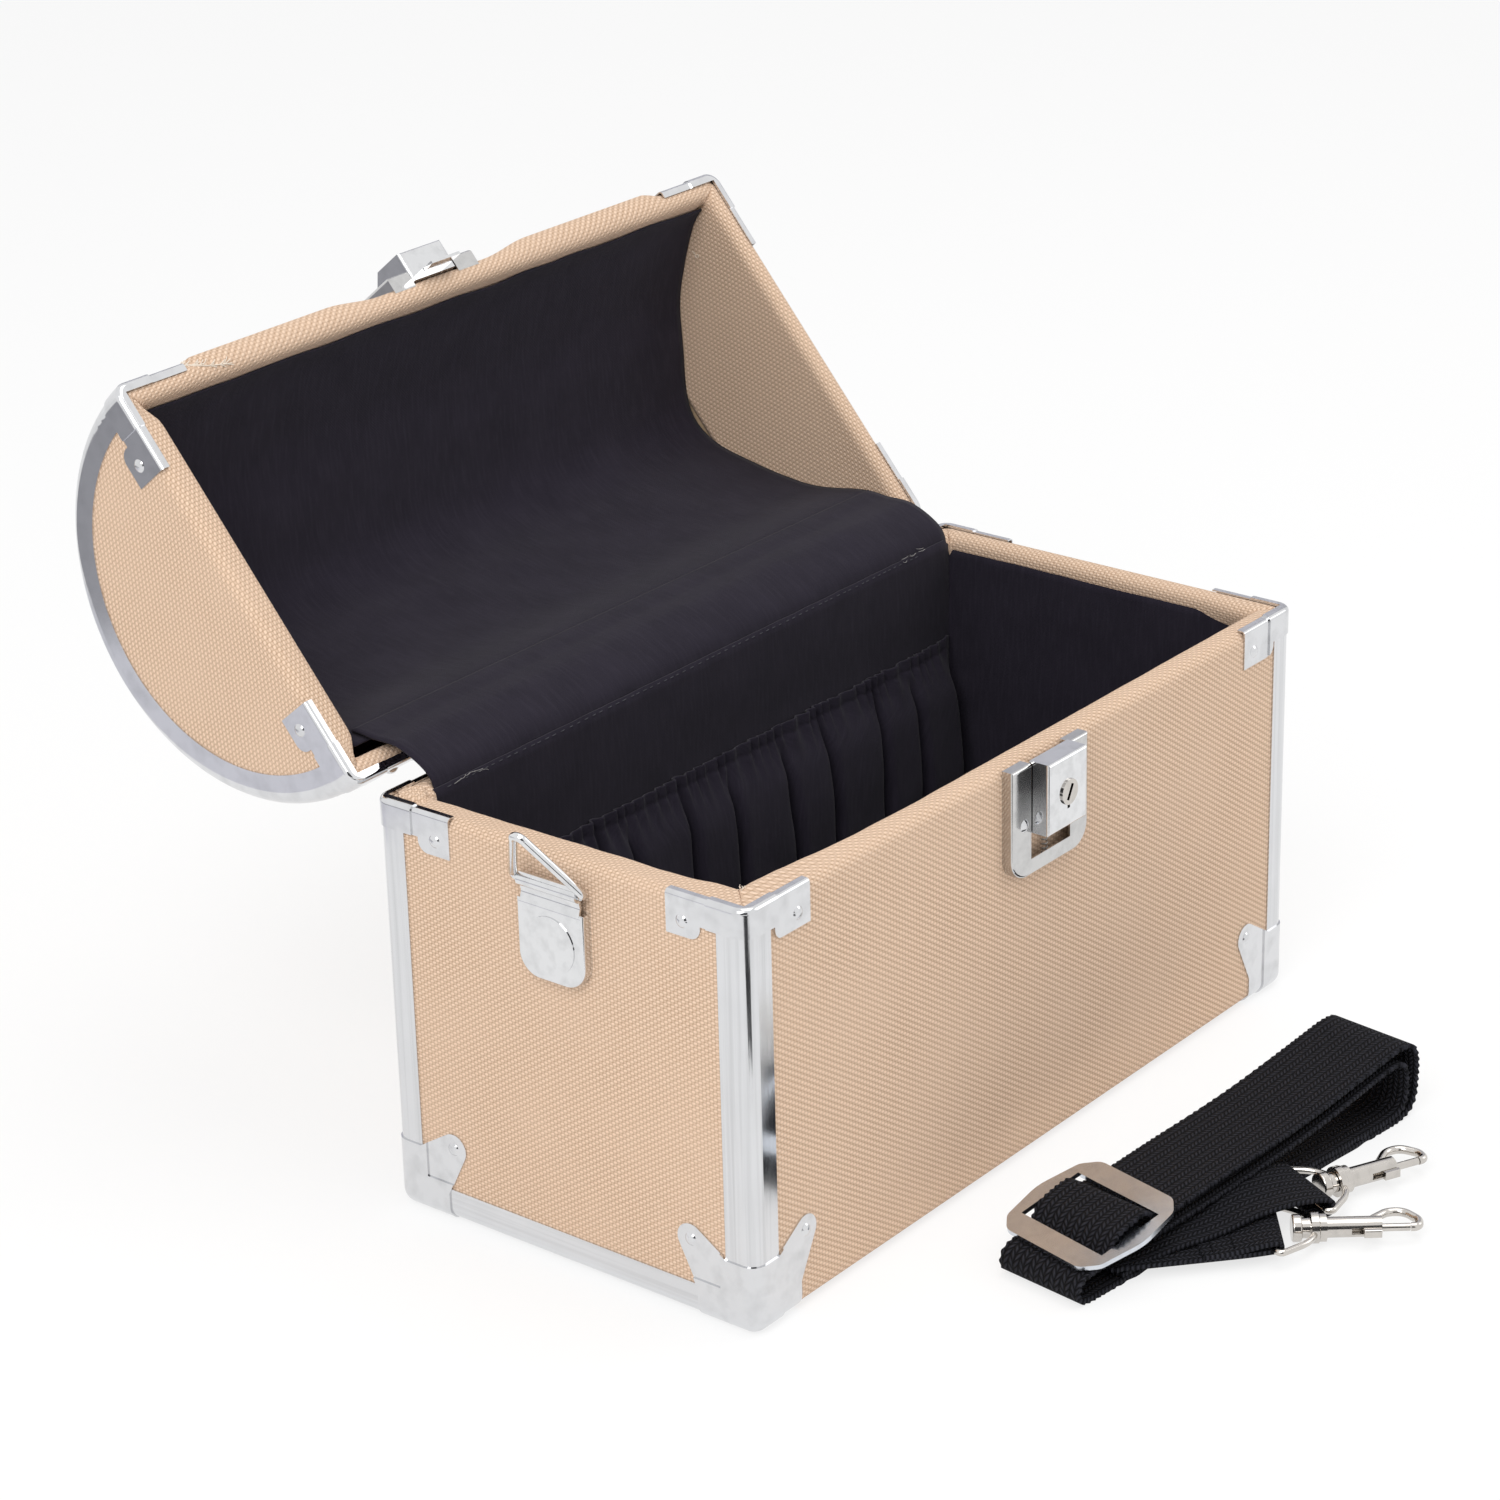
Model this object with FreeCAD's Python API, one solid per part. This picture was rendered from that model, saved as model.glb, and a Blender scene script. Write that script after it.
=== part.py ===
import FreeCAD, Part
import math
import os

# Makeup train case: a canvas-covered board tub with a barrel lid, steel edge hardware,
# a sliding-block lock, two strap rings and a loose shoulder strap.
# Millimetres. Origin on the floor under the middle of the base; X runs along the case,
# Y from front to back, Z up. The lid stands open, as far as its lining lets it.

# Case
case_length = 300.0
case_depth = 146.0
rim_height = 142.8
rim_gap = 2.4
lid_open_angle = 130.0

# Walls
board = 6.0
canvas = 0.9
lining = 0.7
canvas_tuck = 12.0
lid_tuck = 20.0
lining_drop = 4.6
edge_round = 4.5
inner_round = 2.0
fillet_margin = 0.1

# Sheet steel trim
steel = 0.5
angle_leg = 11.0
trim_leg = 10.3
joint_gap = 0.3

# Bottom corner caps
cap_height = 24.3
cap_shoulder = 10.5
cap_width = 22.0
cap_side_height = 10.5
cap_ear_out = 24.5
cap_ear_up = 27.1
cap_ear_radius = 5.2
cap_step = 13.0

# Rim corner clips
clip_arm = 30.0
clip_drop = 8.6
clip_tab_drop = 13.4
clip_end_tab_start = 17.0
clip_front_tab_start = 12.4
clip_tab_round = 4.0
clip_step = 14.6
clip_lip = 2.6
clip_bend = 0.9
clip_rivet_out = 24.0
clip_rivet_down = 8.5

# Rivets
rivet_radius = 2.2
rivet_rise = 1.0

# Lock
lock_width = 42.0
lock_height = 38.5
lock_depth = 4.2
lock_sheet = 0.8
lock_corner = 8.0
lock_top_drop = 0.5
lock_edge_round = 1.1
block_width = 21.0
block_height = 24.5
block_proud = 11.0
block_rise = 0.2
block_round = 1.3
block_clearance = 0.35
slide_travel = 6.0
slot_depth = 9.0
slide_flange_width = 26.0
slide_flange_height = 11.5
slide_flange_thickness = 1.25
lock_rivet_out = 14.5
lock_rivet_down = 20.0
key_radius = 4.3
key_length = 5.5
key_proud = 0.6
key_slot_width = 1.4
key_slot_length = 5.6
key_slot_depth = 2.5
key_rest_turn = 28.0
running_clearance = 0.05
spring_radius = 1.2
spring_wall = 0.4

# Lid half of the lock
catch_height = 30.0
catch_block_height = 20.0
catch_block_round = 1.0
tongue_width = 14.0
tongue_thickness = 1.0
tongue_length = 8.0
tongue_setout = 1.2

# Strap rings and their plates
ring_plate_width = 26.4
ring_plate_height = 25.7
ring_plate_depth = 4.0
ring_plate_emboss = 9.5
ring_plate_emboss_rise = 0.3
ring_axis_drop = 9.5
ring_axis_out = 3.2
barrel_radius = 2.3
barrel_length = 23.4
neck_height = 6.5
neck_dip = 0.6
neck_bend = 2.0
ring_wire = 2.8
ring_half_base = 14.6
ring_rise = 28.0
ring_base_bend = 1.7
ring_top_bend = 2.4
ring_lean = 32.0
ring_droop = 122.0

# Butt hinges
hinge_setback = 4.6
hinge_rise = 0.2
hinge_spacing = 170.0
hinge_leaf_length = 40.0
hinge_leaf_height = 24.0
hinge_leaf_thickness = 1.2
hinge_knuckle_radius = 3.2
hinge_knuckle = 13.4
hinge_pin_radius = 1.5
hinge_rivet_out = 13.0

# Gathered pocket
pocket_drop = 41.0
pocket_hem = 6.0
pocket_swell = 13.0
pocket_pleats = 14
pleat_depth = 5.0
pleat_round = 3.5
pocket_cloth = 1.0
hem_cloth = 2.0
cloth_gap = 0.3
pocket_seat = 0.1

# Lining of the lid and the flap across the hinge
lid_lining_start = 12.0
flap_cloth = 0.8
flap_drop = 18.0
flap_bend = 4.0

# Shoulder strap, lying on the floor in front of the case
webbing_width = 32.0
webbing = 1.5
strap_corner_x = -77.0
strap_corner_y = -141.9
strap_turn = -6.5
strap_length = 171.0
strap_nose_height = 27.0
layer_gap = 0.9
tail_width = 27.0
tail_lead = 10.0
tail_rise_run = 14.0
crest_start = 34.0
crest_rise_run = 13.0
crest_run = 13.0
low_tail_lead = 16.0

# Slide buckle
buckle_width = 42.0
buckle_length = 42.0
buckle_sheet = 1.6
buckle_window = 36.0
buckle_slot = 8.0
buckle_bar = 9.0
buckle_corner = 5.0
buckle_bow = 3.0
buckle_along = 24.0
buckle_across = 17.0
buckle_up = 16.0
buckle_turn = -5.5
buckle_tilt = 12.0
buckle_gap = 0.7

# Swivel snap hooks, placed from the strap's corner
upper_hook_x = 105.0
upper_hook_y = -27.6
upper_hook_height = 6.0
upper_hook_heading = -25.7
upper_tail = 76.0
upper_tail_heading = -25.7
lower_hook_x = 76.0
lower_hook_y = -36.6
lower_hook_height = 5.4
lower_hook_heading = -51.2
lower_tail = 55.0
lower_tail_heading = -42.0
eye_wire = 2.2
eye_half_width = 17.7
eye_depth = 13.6
eye_bend = 1.6
eye_boss_radius = 5.0
eye_boss_length = 2.4
stem_radius = 1.8
neck_radius = 3.3
neck_length = 2.6
head_radius = 4.4
head_length = 3.1
collar_radius = 4.5
collar_length = 2.1
hook_body_radius = 3.3
hook_body_length = 17.4
hook_wire = 2.8
hook_bulge = 8.7
hook_reach = 12.4
nose_root = 9.0
nose_lead = 5.0
nose_swell = 3.0
nose_crown = 4.0
nose_hang = 3.2
nose_overhang = 0.6
nose_landing = 3.2
bolt_radius = 1.25
bolt_setover = 1.0
bolt_travel = 5.0
bolt_depth = 10.5
thumb_length = 5.6
thumb_thickness = 1.8
thumb_width = 2.8
thumb_stem = 2.4
thumb_stem_width = 1.6

# Worked-out sizes
V = FreeCAD.Vector
half_length = case_length / 2
half_depth = case_depth / 2
wall = board + 2 * canvas
rim_round = min(wall / 2, edge_round) - fillet_margin
body_low = 2 * steel
floor_top = body_low + canvas + board
lid_rim = rim_height + rim_gap
hinge_y = half_depth + hinge_setback
hinge_z = rim_height + hinge_rise
back_lining_face = half_depth - wall - lining
pocket_height = rim_height - pocket_drop
ring_axis_height = rim_height - ring_axis_drop
ring_plate_high = ring_axis_height - neck_height
ring_plate_low = ring_plate_high - ring_plate_height
far = 4 * case_length
reach = 8.0
tiny = 1e-6

# Each hook: name, swivel point, heading, axis height, tail length and tail heading
upper_hook = (
    "1",
    strap_corner_x + upper_hook_x,
    strap_corner_y + upper_hook_y,
    upper_hook_heading,
    upper_hook_height,
    upper_tail,
    upper_tail_heading,
)
lower_hook = (
    "2",
    strap_corner_x + lower_hook_x,
    strap_corner_y + lower_hook_y,
    lower_hook_heading,
    lower_hook_height,
    lower_tail,
    lower_tail_heading,
)


# Small drawing helpers

def box(x, y, z):
    """Box between three pairs of limits."""
    size = [abs(pair[1] - pair[0]) for pair in (x, y, z)]
    low = [min(pair) for pair in (x, y, z)]
    return Part.makeBox(*size, V(*low))


def rod(start, end, radius):
    """Round bar from one point to another."""
    along = end.sub(start)
    return Part.makeCylinder(radius, along.Length, start, along)


def rounded(shape, radius, wanted):
    """Fillet of the edges for which wanted(edge) is true."""
    return shape.makeFillet(radius, [edge for edge in shape.Edges if wanted(edge)])


def level(axis, value):
    """Test for edges that lie on one plane square to an axis."""

    def lies_there(edge):
        middle = edge.valueAt((edge.FirstParameter + edge.LastParameter) / 2)
        spots = [v.Point for v in edge.Vertexes] + [middle]
        return all(abs(getattr(spot, axis) - value) < tiny for spot in spots)

    return lies_there


def upright(edge):
    """Test for straight edges along Z."""
    ends = edge.Vertexes
    return len(ends) == 2 and abs(ends[0].X - ends[1].X) < tiny and abs(ends[0].Y - ends[1].Y) < tiny


def joined(shapes):
    """One solid from several that overlap."""
    return shapes[0].multiFuse(shapes[1:]).removeSplitter()


def mirrored(shape, axis):
    """Mirror image through the plane square to an axis at the origin."""
    return shape.mirror(V(0, 0, 0), V(*axis))


def turned(shape, centre, axis, degrees):
    """Copy turned about an axis through a point."""
    copy = shape.copy()
    copy.rotate(centre, axis, degrees)
    return copy


def path_edges(points, shift, place, closed):
    """Edges along corner points (a, b, radius), moved sideways by shift to the left."""
    flat = [V(p[0], p[1], 0) for p in points]
    radii = [p[2] if len(p) > 2 else 0.0 for p in points]
    count = len(points)
    edges = []
    joints = []
    for i in range(count):
        here = flat[i]
        inner = closed or 0 < i < count - 1
        before = here.sub(flat[i - 1]).normalize() if closed or i > 0 else None
        after = flat[(i + 1) % count].sub(here).normalize() if closed or i < count - 1 else None
        lead = before or after
        side = V(-lead.y, lead.x, 0)
        if not inner or radii[i] == 0:
            joints.append((here + side * shift, None, here + side * shift))
            continue
        next_side = V(-after.y, after.x, 0)
        cross = before.x * after.y - before.y * after.x
        way = 1 if cross > 0 else -1
        half_turn = math.acos(max(-1.0, min(1.0, before.dot(after)))) / 2
        tangent = radii[i] * math.tan(half_turn)
        start = here - before * tangent
        end = here + after * tangent
        centre = start + side * (way * radii[i])
        radius = radii[i] - way * shift
        middle = centre + (here - centre).normalize() * radius
        joints.append((start + side * shift, middle, end + next_side * shift))
    for i in range(count):
        start, middle, end = joints[i]
        if middle is not None:
            edges.append(Part.Arc(place(start), place(middle), place(end)).toShape())
        if closed or i < count - 1:
            target = joints[(i + 1) % count][0]
            if target.sub(end).Length > tiny:
                edges.append(Part.makeLine(place(end), place(target)))
    return edges, place(joints[0][0]), place(joints[-1][2])


def plate(points, place, direction):
    """Solid from a closed outline with rounded corners."""
    edges = path_edges(points, 0.0, place, True)[0]
    return Part.Face(Part.Wire(Part.__sortEdges__(edges))).extrude(direction)


def ribbon(points, thickness, place, direction):
    """Bent sheet that follows an open line of corner points."""
    left, left_start, left_end = path_edges(points, thickness / 2, place, False)
    right, right_start, right_end = path_edges(points, -thickness / 2, place, False)
    ends = [Part.makeLine(left_start, right_start), Part.makeLine(left_end, right_end)]
    return Part.Face(Part.Wire(Part.__sortEdges__(left + right + ends))).extrude(direction)


def on_end(x):
    """Drawing plane of an end face: first value along Y, second along Z."""
    return lambda p: V(x, p.x, p.y)


def on_front(y):
    """Drawing plane of a front face: first value along X, second along Z."""
    return lambda p: V(p.x, y, p.y)


def on_floor(z):
    """Drawing plane seen from above."""
    return lambda p: V(p.x, p.y, z)


def rivet(at, outward):
    """Domed rivet head that stands on a surface."""
    ball = (rivet_radius ** 2 + rivet_rise ** 2) / (2 * rivet_rise)
    latitude = math.degrees(math.asin((ball - rivet_rise) / ball))
    return Part.makeSphere(ball, at - outward * (ball - rivet_rise), outward, latitude, 90, 360)


def tangent_point(point, centre, radius, side):
    """Where a line from a point touches a circle, on the side asked for."""
    across = centre.sub(point)
    lean = math.asin(radius / across.Length)
    length = math.sqrt(across.Length ** 2 - radius ** 2)
    heading = math.atan2(across.y, across.x) + side * lean
    return point + V(math.cos(heading), math.sin(heading), 0) * length


# Forms of the closed case

def base_block(grow, bend=None):
    """Outside of the base, grown by an amount all round, with its rim edge rounded or bent sharper."""
    rim_edge = rim_round if bend is None else bend
    low = body_low - grow
    high = rim_height + grow
    block = box(
        (-half_length - grow, half_length + grow),
        (-half_depth - grow, half_depth + grow),
        (low, high),
    )
    at_floor = level("z", low)
    block = rounded(block, edge_round + grow, lambda edge: upright(edge) or at_floor(edge))
    return rounded(block, rim_edge + grow, level("z", high))


def base_hollow(inset, low):
    """Inside of the base, set in from the outside by an amount."""
    hollow = box(
        (-half_length + inset, half_length - inset),
        (-half_depth + inset, half_depth - inset),
        (low, rim_height + reach),
    )
    return rounded(hollow, inner_round + wall - inset, upright)


def base_tub(grow, inset, low):
    """Tub with rounded rims."""
    tub = base_block(grow).cut(base_hollow(inset, low))
    high = level("z", rim_height + grow)

    def inner(edge):
        inside_x = all(abs(v.X) < half_length - inset + tiny for v in edge.Vertexes)
        inside_y = all(abs(v.Y) < half_depth - inset + tiny for v in edge.Vertexes)
        return high(edge) and inside_x and inside_y

    return rounded(tub, rim_round + grow, inner)


def lid_block(grow, bend=None):
    """Outside of the closed lid, a half barrel, grown by an amount all round, its rim edge as above."""
    rim_edge = rim_round if bend is None else bend
    radius = half_depth + grow
    low = lid_rim - grow
    x = -half_length - grow
    if grow > 0:
        corner = V(x, radius, lid_rim)
        feet = [V(x, radius, low), V(x, -radius, low)]
    else:
        corner = V(x, math.sqrt(radius ** 2 - grow ** 2), low)
        feet = []
    other = V(x, -corner.y, corner.z)
    edges = [Part.Arc(other, V(x, 0, lid_rim + radius), corner).toShape()]
    around = [corner] + feet + [other]
    edges += [Part.makeLine(a, b) for a, b in zip(around, around[1:])]
    block = Part.Face(Part.Wire(edges)).extrude(V(case_length + 2 * grow, 0, 0))
    at_rim = level("z", low)

    def arch(edge):
        return (level("x", x)(edge) or level("x", -x)(edge)) and not at_rim(edge)

    block = rounded(block, edge_round + grow, arch)
    return rounded(block, rim_edge + grow, at_rim)


def barrel(inset, ends_inset):
    """Half barrel inside the lid, open below the rim."""
    radius = half_depth - inset
    length = case_length - 2 * ends_inset
    form = Part.makeCylinder(radius, length, V(-length / 2, 0, lid_rim), V(1, 0, 0))
    ends = (level("x", -length / 2), level("x", length / 2))
    return rounded(form, inner_round + wall - inset, lambda edge: ends[0](edge) or ends[1](edge))


def lid_tub(grow, inset):
    """Hollow lid with rounded rims."""
    tub = lid_block(grow).cut(barrel(inset, inset))
    at_rim = level("z", lid_rim - grow)

    def inner(edge):
        inside_x = all(abs(v.X) < half_length - inset + tiny for v in edge.Vertexes)
        inside_y = all(abs(v.Y) < half_depth - inset + tiny for v in edge.Vertexes)
        return at_rim(edge) and inside_x and inside_y

    return rounded(tub, rim_round + grow, inner)


def opened(shape):
    """Closed lid piece turned to the open lid's place."""
    return turned(shape, V(0, hinge_y, hinge_z), V(1, 0, 0), -lid_open_angle)


# Walls of the base

def base_walls():
    """U-bent board, inset end boards, canvas and lining."""
    inset = canvas + board
    tub = base_tub(-canvas, inset, floor_top)
    inner_depth = half_depth - inset
    end_zone = box((half_length - inset, far), (-inner_depth, inner_depth), (floor_top, far))
    right_board = tub.common(end_zone)
    left_board = mirrored(right_board, (1, 0, 0))
    wrap_board = tub.cut(end_zone).cut(mirrored(end_zone, (1, 0, 0)))

    skin = base_tub(0.0, wall, floor_top + canvas).cut(tub)
    behind_tuck = canvas + board / 2
    skin = skin.cut(
        box(
            (-half_length + behind_tuck, half_length - behind_tuck),
            (-half_depth + behind_tuck, half_depth - behind_tuck),
            (body_low + behind_tuck, rim_height - canvas_tuck),
        )
    )
    turn_under = wall + 1
    mitre = plate(
        [
            (half_length + reach, half_depth + reach),
            (half_length - turn_under, half_depth - turn_under),
            (half_length - turn_under, -half_depth + turn_under),
            (half_length + reach, -half_depth - reach),
        ],
        on_floor(-reach),
        V(0, 0, rim_height + 2 * reach),
    )
    right_canvas = skin.common(mitre)
    left_canvas = mirrored(right_canvas, (1, 0, 0))
    wrap_canvas = skin.cut(mitre).cut(mirrored(mitre, (1, 0, 0)))

    below_rim = box((-far, far), (-far, far), (-far, rim_height - lining_drop))
    cloth = base_hollow(wall, floor_top).common(below_rim)
    cloth = cloth.cut(base_hollow(wall + lining, floor_top + lining))
    return {
        "base_wrap_board": wrap_board,
        "base_end_board_left": left_board,
        "base_end_board_right": right_board,
        "base_wrap_canvas": wrap_canvas,
        "base_end_canvas_left": left_canvas,
        "base_end_canvas_right": right_canvas,
        "base_lining": cloth,
    }


def pocket():
    """Gathered pocket on the back wall, with its elastic hem."""
    seat = back_lining_face - cloth_gap - pocket_cloth
    outer = back_lining_face - pocket_swell
    half = half_length - wall - lining - pleat_round
    pitch = 2 * half / pocket_pleats
    line = [(-half, seat, 0.0)]
    for i in range(pocket_pleats):
        x = -half + pitch * i
        line.append((x + 0.25 * pitch, outer, pleat_round))
        line.append((x + 0.75 * pitch, outer + pleat_depth, pleat_round))
    line[-1] = (half - 0.25 * pitch, outer, pleat_round)
    line.append((half, seat, 0.0))
    low = floor_top + lining + pocket_seat
    hem_low = pocket_height - pocket_hem
    sheet = ribbon(line, pocket_cloth, on_floor(low), V(0, 0, hem_low - low))
    hem = ribbon(line, hem_cloth, on_floor(hem_low), V(0, 0, pocket_hem))
    return {"gathered_pocket": sheet, "pocket_elastic": hem}


# Walls of the lid

def lid_walls():
    """Dome board, half-round end boards, canvas and lining of the lid, closed."""
    inset = canvas + board
    tub = lid_tub(-canvas, inset)
    disc = Part.makeCylinder(half_depth - inset, far, V(half_length - inset, 0, lid_rim), V(1, 0, 0))
    right_board = tub.common(disc)
    left_board = mirrored(right_board, (1, 0, 0))
    dome_board = tub.cut(disc).cut(mirrored(disc, (1, 0, 0)))

    skin = lid_tub(0.0, wall).cut(tub)
    turn_under = wall + 1
    mitre = Part.makeCone(
        half_depth - turn_under,
        half_depth + reach,
        turn_under + reach,
        V(half_length - turn_under, 0, lid_rim),
        V(1, 0, 0),
    )
    right_canvas = skin.common(mitre)
    left_canvas = mirrored(right_canvas, (1, 0, 0))
    dome_canvas = skin.cut(mitre).cut(mirrored(mitre, (1, 0, 0)))
    behind_tuck = Part.makeCylinder(
        half_depth - canvas - board / 2, far, V(-far / 2, 0, lid_rim), V(1, 0, 0)
    )
    above_tuck = box((-far, far), (-far, far), (lid_rim + lid_tuck, far))
    dome_canvas = dome_canvas.cut(behind_tuck.common(above_tuck))

    half = half_length - wall - 2 * cloth_gap
    inner = half_depth - wall
    front_reach = math.sqrt(inner ** 2 - lid_lining_start ** 2) - cloth_gap - flap_cloth
    slack = [
        (-front_reach, lid_rim + lid_lining_start, 0.0),
        (-0.71 * inner, lid_rim + 0.58 * inner, 45.0),
        (-0.05 * inner, lid_rim + 1.035 * inner, 18.0),
        (0.61 * inner, lid_rim + 0.55 * inner, 60.0),
        (0.89 * inner, lid_rim + 5.0, 0.0),
    ]
    cloth = ribbon(slack, flap_cloth, on_end(-half), V(2 * half, 0, 0))
    return {
        "lid_dome_board": dome_board,
        "lid_end_board_left": left_board,
        "lid_end_board_right": right_board,
        "lid_dome_canvas": dome_canvas,
        "lid_end_canvas_left": left_canvas,
        "lid_end_canvas_right": right_canvas,
        "lid_lining": cloth,
    }


def lining_flap():
    """Cloth sewn inside the base's back wall that runs over both rims into the open lid."""
    half = half_length - wall - lining - inner_round
    seat = back_lining_face - cloth_gap - flap_cloth / 2
    lid_end = opened(Part.Vertex(0, 0.89 * (half_depth - wall), lid_rim + 5.0))
    line = [
        (seat, rim_height - flap_drop, 0.0),
        (seat, rim_height + rim_gap, flap_bend),
        (lid_end.Y - 2 * cloth_gap, lid_end.Z + cloth_gap, 0.0),
    ]
    return ribbon(line, flap_cloth, on_end(-half), V(2 * half, 0, 0))


# Steel edges and corners

corner_names = ("front_left", "front_right", "back_left", "back_right")


def at_corners(shape, prefix):
    """The front left piece and its mirror images at the other three corners."""
    right = mirrored(shape, (1, 0, 0))
    images = (shape, right, mirrored(shape, (0, 1, 0)), mirrored(right, (0, 1, 0)))
    return {prefix + "_" + name: image for name, image in zip(corner_names, images)}


def edge_angles():
    """Front left upright angle and left bottom angle, bent from sheet."""
    shell = base_block(steel).cut(base_block(0.0))
    leg_x = (-half_length - reach, -half_length + angle_leg)
    leg_top = body_low + angle_leg
    upright_zone = box(
        leg_x,
        (-half_depth - reach, -half_depth + angle_leg),
        (leg_top + joint_gap, rim_height - rim_round - joint_gap),
    )
    run = half_depth - angle_leg - joint_gap
    bottom_zone = box(leg_x, (-run, run), (-reach, leg_top))
    return shell.common(upright_zone), shell.common(bottom_zone)


def cap_outline():
    """Side of a bottom cap from its corner: a shoulder, a riveted ear and a short straight edge."""
    shoulder = V(cap_shoulder, cap_height, 0)
    side = V(cap_width, cap_side_height, 0)
    ear = V(cap_ear_out, cap_ear_up, 0)
    over = tangent_point(shoulder, ear, cap_ear_radius, 1)
    under = tangent_point(side, ear, cap_ear_radius, -1)
    tip = ear + ((over - ear) + (under - ear)).normalize() * cap_ear_radius
    if (tip - ear).dot(ear) < 0:
        tip = ear - (tip - ear)
    points = [V(cap_width, 0, 0), V(0, 0, 0), V(0, cap_height, 0), shoulder, over]
    return points, tip, [under, side]


def cap_side(place, direction):
    """Prism of the cap's side outline."""
    points, tip, back = cap_outline()
    edges = [Part.makeLine(place(a), place(b)) for a, b in zip(points, points[1:])]
    edges.append(Part.Arc(place(points[-1]), place(tip), place(back[0])).toShape())
    chain = back + [points[0]]
    edges += [Part.makeLine(place(a), place(b)) for a, b in zip(chain, chain[1:])]
    return Part.Face(Part.Wire(edges)).extrude(direction)


def bottom_cap(angles):
    """Pressed cap over the front left bottom corner, stepped down from the angles to the canvas."""
    x0 = -half_length
    y0 = -half_depth
    end_side = cap_side(lambda p: V(x0 - reach, y0 + p.x, p.y), V(reach + edge_round, 0, 0))
    front_side = cap_side(lambda p: V(x0 + p.x, y0 - reach, p.y), V(0, reach + edge_round, 0))
    under = box((x0 - reach, x0 + cap_width), (y0 - reach, y0 + cap_width), (-reach, edge_round))
    corner = box((x0 - reach, x0 + edge_round), (y0 - reach, y0 + edge_round), (-reach, cap_height))
    zone = joined([end_side, front_side, under, corner])
    near_upright = box((x0 - reach, x0 + cap_step), (y0 - reach, y0 + cap_step), (-reach, far))
    near_bottom = box((x0 - reach, x0 + cap_step), (-far, far), (-reach, body_low + cap_step))
    over_angles = base_block(2 * steel).common(near_upright.fuse(near_bottom))
    form = base_block(steel).fuse(over_angles).common(zone)
    return form.cut(base_block(0.0)).cut(angles[0]).cut(angles[1])


def clip_outline(tab_start):
    """Side view of one arm of a rim clip, with the riveted tab that hangs from its end."""
    return [
        (-reach, -reach),
        (clip_arm, -reach),
        (clip_arm, clip_tab_drop),
        (tab_start, clip_tab_drop, clip_tab_round),
        (tab_start, clip_drop),
        (-reach, clip_drop),
    ]


def clip_zone(rim, way):
    """Two arms of a rim clip at the front left corner; way is 1 where the wall is above the rim."""
    end_arm = plate(
        clip_outline(clip_end_tab_start),
        lambda p: V(-half_length - reach, -half_depth + p.x, rim + way * p.y),
        V(reach + clip_lip, 0, 0),
    )
    front_arm = plate(
        clip_outline(clip_front_tab_start),
        lambda p: V(-half_length + p.x, -half_depth - reach, rim + way * p.y),
        V(0, reach + clip_lip, 0),
    )
    return end_arm.fuse(front_arm)


def rim_clip(block, trim, rim, way):
    """Sheet clip folded sharply over a rim corner, stepped where it passes over the trim below it."""
    step = box(
        (-half_length - reach, -half_length + clip_step),
        (-half_depth - reach, -half_depth + clip_step),
        (-far, far),
    )
    form = block(steel, clip_bend).fuse(block(2 * steel, clip_bend).common(step))
    return form.common(clip_zone(rim, way)).cut(block(0.0, clip_bend)).cut(trim)


def arc_trim():
    """Arched angle on the left end of the closed lid."""
    shell = lid_block(steel).cut(lid_block(0.0))
    zone = box(
        (-half_length - reach, -half_length + trim_leg),
        (-far, far),
        (lid_rim + rim_round + joint_gap, far),
    )
    bar = Part.makeCylinder(half_depth - trim_leg, far, V(-far / 2, 0, lid_rim), V(1, 0, 0))
    return shell.common(zone).cut(bar)


def corner_rivets(rim, way, rise):
    """Rivet heads of the four rim clips of one half; rise is how far round the dome they sit."""
    height = rim + way * clip_rivet_down
    out = clip_rivet_out
    heads = []
    for sx in (-1, 1):
        for sy in (-1, 1):
            end = V(sx * (half_length + steel), sy * (half_depth - out), height)
            heads.append(rivet(end, V(sx, 0, 0)))
            facing = V(0, sy * math.cos(rise), math.sin(rise))
            centre = V(sx * (half_length - out), 0, height - half_depth * math.sin(rise))
            heads.append(rivet(centre + facing * (half_depth + steel), facing))
    return heads


def cap_rivets():
    """Rivet heads of the bottom caps."""
    heads = []
    for sx in (-1, 1):
        for sy in (-1, 1):
            end = V(sx * (half_length + steel), sy * (half_depth - cap_ear_out), cap_ear_up)
            side = V(sx * (half_length - cap_ear_out), sy * (half_depth + steel), cap_ear_up)
            heads.append(rivet(end, V(sx, 0, 0)))
            heads.append(rivet(side, V(0, sy, 0)))
    return heads


# Lock

lock_face = -half_depth - lock_depth
lock_top = rim_height - lock_top_drop
block_top = rim_height + block_rise
block_low = block_top - block_height
slide_back = lock_face + lock_sheet + joint_gap
key_height = block_low + block_height / 2


def pan(half_width, low, high, corner, place, direction, round_low):
    """Flat pan form with two rounded corners at one end."""
    low_round = corner if round_low else 0.0
    high_round = 0.0 if round_low else corner
    outline = [
        (-half_width, low, low_round),
        (half_width, low, low_round),
        (half_width, high, high_round),
        (-half_width, high, high_round),
    ]
    return plate(outline, place, direction)


def lock_pan(low, high, round_low, depth):
    """Pressed pan with an open back, its rim edges rounded."""
    outer = pan(
        lock_width / 2, low, high, lock_corner, on_front(lock_face), V(0, depth, 0), round_low
    )
    outer = rounded(outer, lock_edge_round, level("y", lock_face))
    inner = pan(
        lock_width / 2 - lock_sheet,
        low + lock_sheet,
        high - lock_sheet,
        lock_corner - lock_sheet,
        on_front(lock_face + lock_sheet),
        V(0, depth, 0),
        round_low,
    )
    return outer.cut(inner)


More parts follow.
